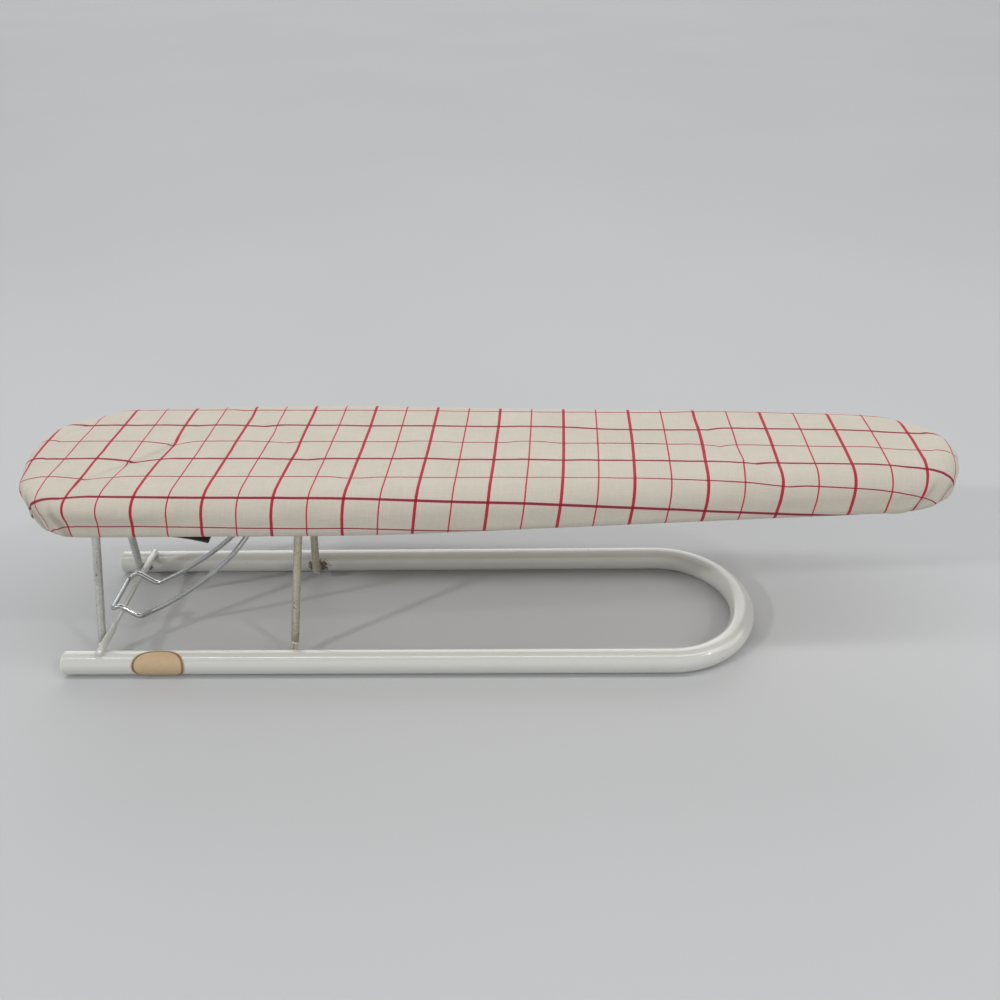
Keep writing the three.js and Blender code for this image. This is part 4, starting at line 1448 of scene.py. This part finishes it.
@dataclass
class Base:
    """The bent tube with its plugs, cross rod and label."""

    wall: float = 1.0
    straight_steps: int = 24
    bend_steps: int = 72
    tube_sides: int = 56
    hole_clearance: float = 0.3
    hole_half_length: float = 2.8
    plug_depth: float = 14.0
    plug_gap: float = 0.08
    dome_steps: int = 10
    dome_flat: float = 0.3
    dome_share: float = 0.9
    rim_step: float = 0.25
    spigot_gap: float = 0.3
    spigot_chamfer: float = 0.8
    rod_end: float = 2.3
    rod_middle: float = 1.4
    rod_end_length: float = 24.5
    rod_taper: float = 4.0
    bead_steps: int = 9
    bead_radius: float = 0.75
    dent: float = 0.45
    dent_reach: Pair = (5.5, 9.0)
    label_top: float = 108.0
    label_bottom: float = -64.0
    label_steps: int = 36
    label_gap: float = 0.24
    label_wave: float = 0.06
    label_lift: float = 1.6
    label_flat: float = 0.9
    label_thickness: float = 0.16

    def __post_init__(self) -> None:
        """Reads the tube, rod and hinge places."""
        low, high = box_mm("base_tube")
        self.radius = high.z / 2
        self.half_span = high.y - self.radius
        self.start_x = low.x
        self.bend_x = high.x - self.radius - self.half_span
        self.rod = middle_of("cross_rod")
        rod_low, rod_high = box_mm("cross_rod")
        self.rod.z = rod_high.z - self.rod_end
        self.rod_ends = (rod_low.y, rod_high.y)
        self.feet = [joint_mm("fold"), joint_mm("right_bail_hinge")]
        self.foot_radius = box_mm("left_bail")[1].z - joint_mm("board_hinge").z

    def line(self, overrun: float) -> list[Vector]:
        """The tube's centre line, from the front run's open end to the rear one's."""
        start, run, steps = self.start_x, self.bend_x - self.start_x, self.straight_steps
        places = [start - overrun] + [start + run * i / steps for i in range(1, steps)]
        front, rear = ([Vector((x, side * self.half_span, self.radius)) for x in places] for side in SIDES)
        bend = [
            Vector((self.bend_x + self.half_span * cosine, self.half_span * sine, self.radius))
            for sine, cosine in arc(-90, 90, self.bend_steps)
        ]
        return front + bend + rear[::-1]

    def tube(self, looks: Looks) -> None:
        """The tube with its bore and the four foot holes."""
        bm = bmesh.new()
        sweep(bm, self.line(0), self.radius, self.tube_sides)
        long_, wide = self.dent_reach
        for vert in bm.verts:
            for side in SIDES:
                reach = math.hypot((vert.co.x - self.rod.x) / long_, (vert.co.y - side * self.half_span) / wide)
                if vert.co.z > self.radius and reach < 2:
                    vert.co.z -= self.dent * math.exp(-reach * reach)
        cutters = bmesh.new()
        sweep(cutters, self.line(2), self.radius - self.wall, self.tube_sides)
        for foot in self.feet:
            for side in SIDES:
                middle = Vector((foot.x, side * (self.half_span - self.radius - 0.2), foot.z))
                reach = Vector((0, side * self.hole_half_length, 0))
                drill(cutters, middle, reach, self.foot_radius + self.hole_clearance, 28)
        finish_mesh(carve(bm, cutters), "enamelled_tube", Body.BASE, Slot.ENAMEL, looks, ["base_tube"], crease=40)

    def plug(self, side: int, looks: Looks) -> None:
        """A domed end plug with a fine step where it meets the tube."""
        end = "front" if side < 0 else "rear"
        low, _ = box_mm(f"{end}_end_cap")
        radius, dome = self.radius, self.start_x - low.x - self.plug_gap
        spigot, depth = radius - self.wall - self.spigot_gap, dome + self.plug_depth
        step, chamfer, flat = self.rim_step, self.spigot_chamfer, self.dome_flat
        profile = [(0.0, 0.0)]
        for sine, cosine in arc(0, 90, self.dome_steps, first=1):
            profile.append((radius * (flat + (1 - flat) * sine), dome * self.dome_share * (1 - cosine)))
        profile += [(radius, dome - step), (radius - step, dome), (spigot, dome)]
        profile += [(spigot, depth - chamfer), (spigot - chamfer, depth), (0.0, depth)]
        bm = lathe(profile, 48)
        place_all(bm, Vector((low.x, side * self.half_span, radius)), math.pi / 2, "Y")
        finish_mesh(bm, f"{end}_domed_plug", Body.BASE, Slot.PLASTIC, looks, [f"{end}_end_cap"], crease=35)

    def bead(self, side: int) -> list[Vector]:
        """The line of the weld round one end of the rod, on the tube."""
        front, rear = self.rod_ends
        lowest = math.asin(max(-1.0, (2 * self.radius - self.rod.z) / self.rod_end))
        half = []
        for i in range(self.bead_steps):
            angle = lowest - (math.pi / 2 + lowest) * 2 * (i + 0.5) / self.bead_steps
            z = self.rod.z + self.rod_end * math.sin(angle)
            drop = math.sqrt(max(self.radius ** 2 - (z - self.radius) ** 2, 0.0))
            half.append((self.rod_end * math.cos(angle), drop))
        ring = []
        for x, y in half + [(x, -y) for x, y in reversed(half)]:
            point = Vector((self.rod.x + x, min(max(side * self.half_span + y, front), rear), 0))
            gap = point.y - side * self.half_span
            point.z = self.radius + math.sqrt(max(self.radius ** 2 - gap ** 2, 0.0)) - self.dent * 0.5
            ring.append(point)
        return ring

    def cross_rod(self, looks: Looks) -> None:
        """The rod with thick ends, let into the tube's top, and the weld that holds each end."""
        front, rear = self.rod_ends
        thick, taper = -front - self.rod_end_length, self.rod_taper
        path, radii = [], []
        for side, end in ((-1, -front), (1, rear)):
            stations = [
                (end, self.rod_end * 0.75), (end - 0.5, self.rod_end), (thick, self.rod_end),
                (thick - taper * 0.35, self.rod_end * 0.94), (thick - taper, self.rod_middle),
            ]
            for y, radius in stations if side < 0 else reversed(stations):
                path.append(Vector((self.rod.x, side * y, self.rod.z)))
                radii.append(radius)
        bm = bmesh.new()
        sweep(bm, path, radii, 32)
        for side in SIDES:
            sweep(bm, self.bead(side), self.bead_radius, 10, closed=True)
        finish_mesh(bm, "welded_cross_rod", Body.BASE, Slot.ENAMEL, looks, ["cross_rod"], crease=60)

    def label(self, looks: Looks) -> None:
        """The oval paper, bent round the tube, with its lower edge lifting a little."""
        low, high = box_mm("paper_label")
        half = (high.x - low.x) / 2
        middle = Vector(((low.x + high.x) / 2, -self.half_span, self.radius))
        bm = bmesh.new()
        at: dict[BMVert, Pair] = {}
        steps = self.label_steps
        for vert in bmesh.ops.create_grid(bm, x_segments=steps, y_segments=steps, size=1)["verts"]:
            x, y = vert.co.x, vert.co.y
            out = max(abs(x), abs(y))
            if out > 1e-6:
                squeeze = out / (abs(x) ** LABEL_POWER + abs(y) ** LABEL_POWER) ** (1 / LABEL_POWER)
                x, y = x * squeeze, y * squeeze
            at[vert] = (x, y)
            angle = math.radians(self.label_bottom + (self.label_top - self.label_bottom) * (y + 1) / 2)
            lifted = max(0.0, noise.noise(Vector((x * 2.3, y * 2.3, 0.4))))
            rim = max(0.0, math.hypot(x, y) - self.label_flat) * self.label_lift * lifted
            wave = self.label_wave * noise.noise(Vector((x * 2, y * 2, 7)))
            reach = self.radius + self.label_gap + wave + rim
            vert.co = middle + Vector((half * x, -reach * math.cos(angle), reach * math.sin(angle)))
        lay_map(bm, "label", at.__getitem__)
        if sum((face.calc_center_median() - middle).dot(face.normal) for face in bm.faces) < 0:
            bmesh.ops.reverse_faces(bm, faces=bm.faces)
        piece = finish_mesh(bm, "blank_oval_label", Body.BASE, Slot.PAPER, looks, ["paper_label"])
        thicken(piece, "paper_thickness", self.label_thickness)

    def build(self, looks: Looks) -> None:
        """Makes every piece of the base."""
        self.tube(looks)
        for side in SIDES:
            self.plug(side, looks)
        self.cross_rod(looks)
        self.label(looks)


# Bails and latch


def bend_wire(corners: Sequence[Bend], radius: float, end_radius: float, sides: int) -> BMesh:
    """A wire through the given corners, whose two ends are rounded down."""
    path = bent_path(corners)
    bm = bmesh.new()
    sweep(bm, path, [end_radius] + [radius] * (len(path) - 2) + [end_radius], sides)
    return bm


@dataclass
class Bail:
    """One folding bail, from foot to foot over the bar under the board."""

    name: str
    node: str
    body: Body
    slot: Slot
    foot: Vector
    bar: Vector
    radius: float
    stand_off: float = 7.7
    foot_bend: float = 4.2
    top_width: float = 34.0
    top_bend: float = 5.0
    chamfer: float = 0.5
    chamfer_length: float = 0.6
    bend_steps: int = 14
    sides: int = 28

    def build(self, base: Base, looks: Looks) -> None:
        """Bends and dresses the wire."""
        leg = base.half_span - base.radius - self.stand_off
        pin, half = box_mm(self.node)[1].y, self.top_width / 2
        places = (
            (self.foot, -pin, 0), (self.foot, self.chamfer_length - pin, 0), (self.foot, -leg, self.foot_bend),
            (self.bar, -half, self.top_bend), (self.bar, half, self.top_bend),
            (self.foot, leg, self.foot_bend), (self.foot, pin - self.chamfer_length, 0), (self.foot, pin, 0),
        )
        corners = [(Vector((spot.x, y, spot.z)), bend, self.bend_steps) for spot, y, bend in places]
        bm = bend_wire(corners, self.radius, self.radius - self.chamfer, self.sides)
        finish_mesh(bm, self.name, self.body, self.slot, looks, [self.node], crease=40)


@dataclass
class Latch:
    """The spring wire that hooks over the cross rod."""

    radius: float = 1.6
    half_width: float = 17.1
    lip_behind: float = 4.5
    lip_above: float = 4.6
    crest_ahead: float = 1.5
    crest_above: float = 8.3
    dip_ahead: float = 13.0
    dip_below: float = 1.5
    crest_bend: float = 4.0
    dip_bend: float = 5.0
    corner_bend: float = 4.0
    bow: float = 9.2
    pivot_bend: float = 2.6
    pivot_half: float = 6.0
    pin_reach: float = 10.8
    arm_steps: int = 26
    bend_steps: int = 12
    narrow_from: float = 0.64
    narrow_to: float = 0.9
    arm_from: float = 0.12
    chamfer: float = 0.35
    chamfer_length: float = 0.4
    sides: int = 22

    def half_path(self, side: int, base: Base) -> list[Bend]:
        """The corners of one arm, from the pivot's tail to the cross bar."""
        rod, pivot = base.rod, joint_mm("latch_lift")
        dip = Vector((rod.x + self.dip_ahead, 0, rod.z - self.dip_below))
        chord = Vector((pivot.x, 0, pivot.z)) - dip
        bow_way = Vector((chord.z, 0, -chord.x)).normalized()
        arm = []
        for i in range(self.arm_steps + 1):
            share = self.arm_from + (1 - self.arm_from) * i / self.arm_steps
            point = dip + chord * share + bow_way * (4 * self.bow * share * (1 - share))
            drawn_in = smoothstep(self.narrow_from, self.narrow_to, share)
            point.y = side * (self.half_width + (self.pivot_half - self.half_width) * drawn_in)
            arm.append(point)
        ear, half = pivot.y + self.pin_reach, side * self.half_width
        return [
            *[(Vector((pivot.x, side * y, pivot.z)), 0, 0) for y in (ear, ear - self.chamfer_length)],
            (arm[-1], self.pivot_bend, 10),
            *[(point, 0, 0) for point in reversed(arm[:-1])],
            (Vector((dip.x, half, dip.z)), self.dip_bend, self.bend_steps),
            (Vector((rod.x + self.crest_ahead, half, rod.z + self.crest_above)), self.crest_bend, self.bend_steps),
            (Vector((rod.x - self.lip_behind, half, rod.z + self.lip_above)), self.corner_bend, self.bend_steps),
        ]

    def build(self, base: Base, looks: Looks) -> None:
        """Bends and dresses the wire."""
        corners = self.half_path(-1, base) + self.half_path(1, base)[::-1]
        bm = bend_wire(corners, self.radius, self.radius - self.chamfer, self.sides)
        finish_mesh(bm, "spring_latch", Body.LATCH, Slot.BRIGHT, looks, ["latch_wire"], crease=40)


# Small steel parts under the plank


@dataclass
class Underside:
    """Clips, bracket, screws, tacks and the loose tape."""

    sheet: float = 1.2
    clearance: float = 0.3
    flange: float = 7.5
    strap_steps: int = 20
    softened: float = 0.22
    screw_head: float = 2.7
    screw_height: float = 1.8
    screw_shank: float = 1.5
    screw_length: float = 12.0
    screw_neck: float = 1.4
    screw_point: float = 2.0
    screw_turn: float = 2.3
    threads: int = 6
    overcut: float = 2.0
    slot_width: float = 0.8
    slot_depth: float = 0.8
    tack_head: float = 2.8
    tack_length: float = 9.0
    tack_shank: float = 0.6
    ear_inside: float = 8.4
    latch_radius: float = 1.6
    tape_sag: float = 1.5
    tape_thickness: float = 0.9
    tape_flat: float = 0.45
    seed: int = 11

    def clip(self, node: str, bar: Vector, wire: float, looks: Looks) -> None:
        """One strap folded round a bail's bar, with softened edges."""
        low, high = box_mm(node)
        inner = wire + self.clearance
        outer = inner + self.sheet
        reach, steps = (high.x - low.x) / 2, self.strap_steps
        top, under = high.z, high.z - self.sheet
        places = [(-reach, top), (-reach, under), (-outer, under)]
        places += [(outer * c, bar.z + outer * s) for s, c in arc(180, 360, steps, 1, 1)]
        places += [(outer, under), (reach, under), (reach, top), (inner, top)]
        places += [(inner * c, bar.z + inner * s) for s, c in arc(360, 180, steps, 1, 1)]
        places.append((-inner, top))
        outline = [Vector((bar.x + x, low.y, z)) for x, z in places]
        bm = extruded_plate(outline, Vector((0, high.y - low.y, 0)), self.softened)
        holes = bmesh.new()
        for side in SIDES:
            middle = Vector((bar.x + side * (outer + self.flange / 2), (low.y + high.y) / 2, (under + top) / 2))
            drill(holes, middle, UP * (self.overcut + self.sheet / 2), self.screw_shank + self.clearance)
        finish_mesh(carve(bm, holes), f"{node}_strap", Body.BOARD, Slot.SHEET, looks, [node], crease=50)

    def screw(self, node: str, turn: float, looks: Looks) -> None:
        """One slotted round head screw, head down."""
        spot = middle_of(node)
        r, h, shank, length = self.screw_head, self.screw_height, self.screw_shank, self.screw_length
        spot.z = box_mm(node)[0].z + h
        profile = [(0.0, -h)]
        profile += [((r - 0.15) * s, -0.4 - (h - 0.4) * c) for s, c in arc(0, 90, 8, first=1)]
        profile += [(r, -0.25), (r - 0.1, 0.0), (shank, 0.0), (shank, self.screw_neck)]
        pitch = (length - 3 * self.screw_neck) / self.threads
        for i in range(self.threads):
            start = self.screw_neck + pitch * i
            profile += [(shank * 0.78, start + pitch * 0.45), (shank, start + pitch * 0.9)]
        profile += [(shank * 0.7, length - self.screw_point), (0.0, length)]
        groove = bmesh.new()
        size = (2 * r + 2, self.slot_width, 2 * self.slot_depth)
        bmesh.ops.create_cube(groove, size=1, matrix=Matrix.Translation((0, 0, -h)) @ Matrix.Diagonal((*size, 1)))
        bm = carve(lathe(profile, 28), groove)
        place_all(bm, spot, turn, "Z")
        finish_mesh(bm, f"slotted_{node}", Body.BOARD, Slot.SCREW, looks, [node], crease=35)

    def tack(self, node: str, random: Random, looks: Looks) -> None:
        """One tack, its hammered head a little out of round."""
        low, high = box_mm(node)
        r, h, shank, length = self.tack_head, high.z - low.z - self.tack_length, self.tack_shank, self.tack_length
        profile = [(0.0, -h)]
        profile += [(r * 0.98 * s, -0.15 - (h - 0.15) * c) for s, c in arc(0, 90, 6, first=1)]
        profile += [(r, 0.0), (shank, 0.0), (shank, length * 0.6), (0.0, length)]
        bm = lathe(profile, 22)
        for vert in bm.verts:
            if vert.co.z < -0.1:
                angle = math.atan2(vert.co.y, vert.co.x)
                flat = 0.05 * math.sin(2 * angle + random.random() * 0.2) * math.hypot(vert.co.x, vert.co.y) / r
                vert.co.x *= 1 - flat
                vert.co.z += 0.12 * noise.noise(vert.co * 0.9 + Vector((low.x, low.y, 0)))
        spot = middle_of(node)
        spot.z = low.z + h
        place_all(bm, spot, random.random() * TURN, "Z")
        name = node.replace("cover_tack", "hem_tack").replace("tape_tack", "tape_end_tack")
        finish_mesh(bm, name, Body.BOARD, Slot.BLUED, looks, [node], crease=50)

    def bracket(self, looks: Looks) -> None:
        """The plate with two ears that carries the latch."""
        low, high = box_mm("latch_bracket")
        pivot = joint_mm("latch_lift")
        half, ear = (high.x - low.x) / 2, pivot.z - low.z
        under, top = high.z - self.sheet, high.z - 0.3
        corners = ((-half, -high.y), (half, -high.y), (half, high.y), (-half, high.y))
        plate = [Vector((pivot.x + x, y, under)) for x, y in corners]
        bm = extruded_plate(plate, UP * self.sheet, self.softened)
        holes = bmesh.new()
        for side, node in zip(SIDES, ("bracket_screw_1", "bracket_screw_2")):
            rounded = [(ear * c, pivot.z + ear * s) for s, c in arc(180, 360, 14)]
            places = [(-half, top), *rounded, (half, top)]
            outline = [Vector((pivot.x + x, side * self.ear_inside, z)) for x, z in places]
            mesh = to_mesh(extruded_plate(outline, Vector((0, side * self.sheet, 0)), 0.2), "ear")
            bm.from_mesh(mesh)
            bpy.data.meshes.remove(mesh)
            middle = Vector((pivot.x, side * (self.ear_inside + 1), pivot.z))
            drill(holes, middle, Vector((0, side * 3, 0)), self.latch_radius + self.clearance)
            screw = middle_of(node)
            screw.z = high.z - self.sheet / 2
            drill(holes, screw, UP * (self.overcut + self.sheet / 2), self.screw_shank + self.clearance)
        bm = carve(bm, holes)
        finish_mesh(bm, "eared_bracket", Body.BOARD, Slot.SHEET, looks, ["latch_bracket"], crease=45)

    def tape(self, looks: Looks) -> None:
        """The short loose end of woven tape under the front edge."""
        low, high = box_mm("black_tape")
        length, width = high.x - low.x, high.y - low.y
        droop = high.z - low.z - self.tape_thickness + self.tape_sag
        bm = bmesh.new()
        at: dict[BMVert, Pair] = {}
        for vert in bmesh.ops.create_grid(bm, x_segments=48, y_segments=18, size=1)["verts"]:
            s, t = (vert.co.x + 1) / 2, (vert.co.y + 1) / 2
            past = max(s - self.tape_flat, 0) / (1 - self.tape_flat)
            z = high.z - droop * past ** 1.4 + 0.18 * math.sin(math.pi * t) * past
            ragged = 0.5 * noise.noise(Vector((t * 14, 2.2, 0))) if s > 0.99 else 0.0
            at[vert] = (s * length, t * width)
            vert.co = Vector((low.x + length * s + ragged - 1.0, low.y + 0.4 + width * t, z))
        lay_map(bm, "cloth", at.__getitem__)
        piece = finish_mesh(bm, "loose_tape_end", Body.BOARD, Slot.WEBBING, looks, ["black_tape"])
        upwards = piece.data.polygons[0].normal.z > 0
        thicken(piece, "tape_thickness", self.tape_thickness, -1.0 if upwards else 1.0)

    def build(self, bars: dict[str, Vector], wire: float, looks: Looks) -> None:
        """Makes every small part."""
        for name, bar in bars.items():
            for end in ("front", "rear"):
                self.clip(f"{name}_{end}_clip", bar, wire, looks)
        self.bracket(looks)
        screws = [f"clip_screw_{i}" for i in range(1, 9)] + ["bracket_screw_1", "bracket_screw_2"]
        for number, node in enumerate(screws):
            self.screw(node, self.screw_turn * number, looks)
        random = Random(self.seed)
        for node in [f"cover_tack_{i}" for i in range(1, 21)] + ["tape_tack"]:
            self.tack(node, random, looks)
        self.tape(looks)


# Studio


@dataclass(frozen=True)
class Sun:
    """A distant soft lamp that shines along a direction."""

    name: str
    towards: Triple
    strength: float
    angle: float


@dataclass
class Studio:
    """The floor, the lamps and the camera at the photograph's angle."""

    camera_place: Triple = (24.45, -471.7, 405.4)
    lens: float = 33.49
    sensor: float = 36.0
    pitch: float = 33.60
    yaw: float = -2.03
    roll: float = -1.62
    floor_size: float = 20.0
    world_strength: float = 0.445
    world_colour: Triple = (0.985, 0.99, 1.0)
    strip_power: float = 6.2
    strip_size: Pair = (2.6, 0.08)
    strip_place: Triple = (60.0, -180.0, 1300.0)
    suns: tuple[Sun, ...] = (
        Sun("front_glow", (-0.3, 2.8, -1.0), 0.45, 75.0),
        Sun("left_lamp", (1.45, 0.88, -1.0), 0.62, 2.6),
        Sun("right_lamp", (-0.92, 0.50, -1.0), 0.26, 3.0),
        Sun("right_glow", (-1.5, 0.0, -1.0), 0.46, 40.0),
        Sun("back_glow", (0.2, -2.2, -1.0), 1.10, 60.0),
    )

    def camera(self) -> None:
        """Places the camera."""
        down, turn, tilt = (math.radians(a) for a in (self.pitch, self.yaw, self.roll))
        ahead = Vector((math.sin(turn) * math.cos(down), math.cos(turn) * math.cos(down), -math.sin(down)))
        right = Vector((math.cos(turn), -math.sin(turn), 0))
        up = right.cross(ahead)
        level_right = right * math.cos(tilt) + up * math.sin(tilt)
        level_up = up * math.cos(tilt) - right * math.sin(tilt)
        data = bpy.data.cameras.new("photo_camera")
        data.lens, data.sensor_width = self.lens, self.sensor
        data.clip_start, data.clip_end = 0.01, 100
        camera = new_object("photo_camera", data)
        turned = Matrix((level_right, level_up, -ahead)).transposed().to_4x4()
        camera.matrix_world = Matrix.Translation(Vector(self.camera_place) * MM) @ turned
        bpy.context.scene.camera = camera

    def hang(self, data: bpy.types.Light, towards: Vector) -> Piece:
        """Adds a lamp that shines along a direction."""
        lamp = new_object(data.name, data)
        lamp.rotation_mode = "QUATERNION"
        lamp.rotation_quaternion = towards.to_track_quat("-Z", "Y")
        return lamp

    def light(self) -> None:
        """Hangs the distant lamps, and a long narrow one over the board, a little to the front."""
        for sun in self.suns:
            data = bpy.data.lights.new(sun.name, "SUN")
            data.energy, data.angle = sun.strength, math.radians(sun.angle)
            self.hang(data, Vector(sun.towards))
        data = bpy.data.lights.new("ceiling_strip", "AREA")
        data.shape, data.energy = "RECTANGLE", self.strip_power
        data.size, data.size_y = self.strip_size
        _, y, z = self.strip_place
        self.hang(data, Vector((0, -y, -z))).location = Vector(self.strip_place) * MM

    def build(self, effects: Effects) -> None:
        """Makes the floor, the world, the lamps and the camera."""
        bm = bmesh.new()
        bmesh.ops.create_grid(bm, x_segments=8, y_segments=8, size=self.floor_size)
        floor = new_object("pale_floor", to_mesh(bm, "pale_floor"))
        floor.data.materials.append(Backdrop("matt_backdrop").build(effects))
        world = bpy.data.worlds.new("soft_room")
        world.use_nodes = True
        background = world.node_tree.nodes["Background"]
        background.inputs["Color"].default_value = (*self.world_colour, 1.0)
        background.inputs["Strength"].default_value = self.world_strength
        bpy.context.scene.world = world
        self.light()
        self.camera()
        bpy.context.scene.view_settings.view_transform = "Standard"


def finishes(effects: Effects, base: Base) -> Looks:
    """Every material of the object, by slot."""
    rim = base.half_span - base.radius
    reaches = {(0, -1): 4.0, (0, 1): 4.6, (1, -1): 4.4, (1, 1): 6.4}
    marks = [Mark.chip((base.feet[i].x, side * rim, base.feet[i].z), reach) for (i, side), reach in reaches.items()]
    marks.append(Mark.scratch((132.0, -base.half_span - base.radius * 0.75, base.radius + 4.6), 5.5))
    bright = {"rust_share": 0.02, "rough": (0.16, 0.32), "metal": 1.0}
    looks: dict[Slot, Finish] = {
        Slot.ENAMEL: Enamel("white_enamel", tuple(marks)),
        Slot.PLASTIC: Plastic("plug_plastic"),
        Slot.ZINC: Wire("zinc_wire"),
        Slot.AGED_ZINC: Wire("aged_zinc_wire", (0.68, 0.655, 0.52), (0.34, 0.32, 0.235), rust_share=0.14),
        Slot.BRIGHT: Wire("bright_wire", (0.66, 0.67, 0.67), (0.32, 0.335, 0.34), **bright),
        Slot.SHEET: Steel("plated_sheet"),
        Slot.SCREW: Steel("screw_steel", (0.36, 0.37, 0.38), (0.22, 0.23, 0.24), rust_share=0.2),
        Slot.BLUED: Steel("blued_tack", (0.07, 0.08, 0.10), (0.035, 0.04, 0.05), rust_share=0.22),
        Slot.BEECH: Wood("planed_beech"),
        Slot.FELT: Felt("matted_felt"),
        Slot.COTTON: CheckedCotton("checked_cotton"),
        Slot.WEBBING: Webbing("black_tape"),
        Slot.PAPER: Paper("tan_label_paper"),
    }
    return {slot: finish.build(effects) for slot, finish in looks.items()}


def dress_plank(looks: Looks) -> None:
    """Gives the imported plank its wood."""
    plank = frame["nodes"]["wooden_plank"]
    plank.data.materials.clear()
    plank.data.materials.append(looks[Slot.BEECH])
    log.info("wooden_plank: dressed in beech")


def main() -> None:
    """Builds the studio and every piece, in order."""
    logging.basicConfig(level=logging.INFO, format="%(message)s")
    effects = Effects()
    Studio().build(effects)
    base = Base()
    looks = finishes(effects, base)
    base.build(looks)
    left_foot, right_foot = base.feet
    left_bar, wire = joint_mm("board_hinge"), base.foot_radius
    right_bar = left_bar + (right_foot - left_foot)
    left = Bail("left_wire_bail", "left_bail", Body.LEFT, Slot.ZINC, left_foot, left_bar, wire)
    right = Bail("right_wire_bail", "right_bail", Body.RIGHT, Slot.AGED_ZINC, right_foot, right_bar, wire)
    for bail in (left, right):
        bail.build(base, looks)
    Latch().build(base, looks)
    dress_plank(looks)
    outline = BoardOutline()
    cover = ClothCover(outline)
    padding = Padding(outline).build(cover, looks)
    cover.build(looks, padding.name)
    Underside().build({"left": left_bar, "right": right_bar}, wire, looks)


if __name__ == "__main__":
    main()
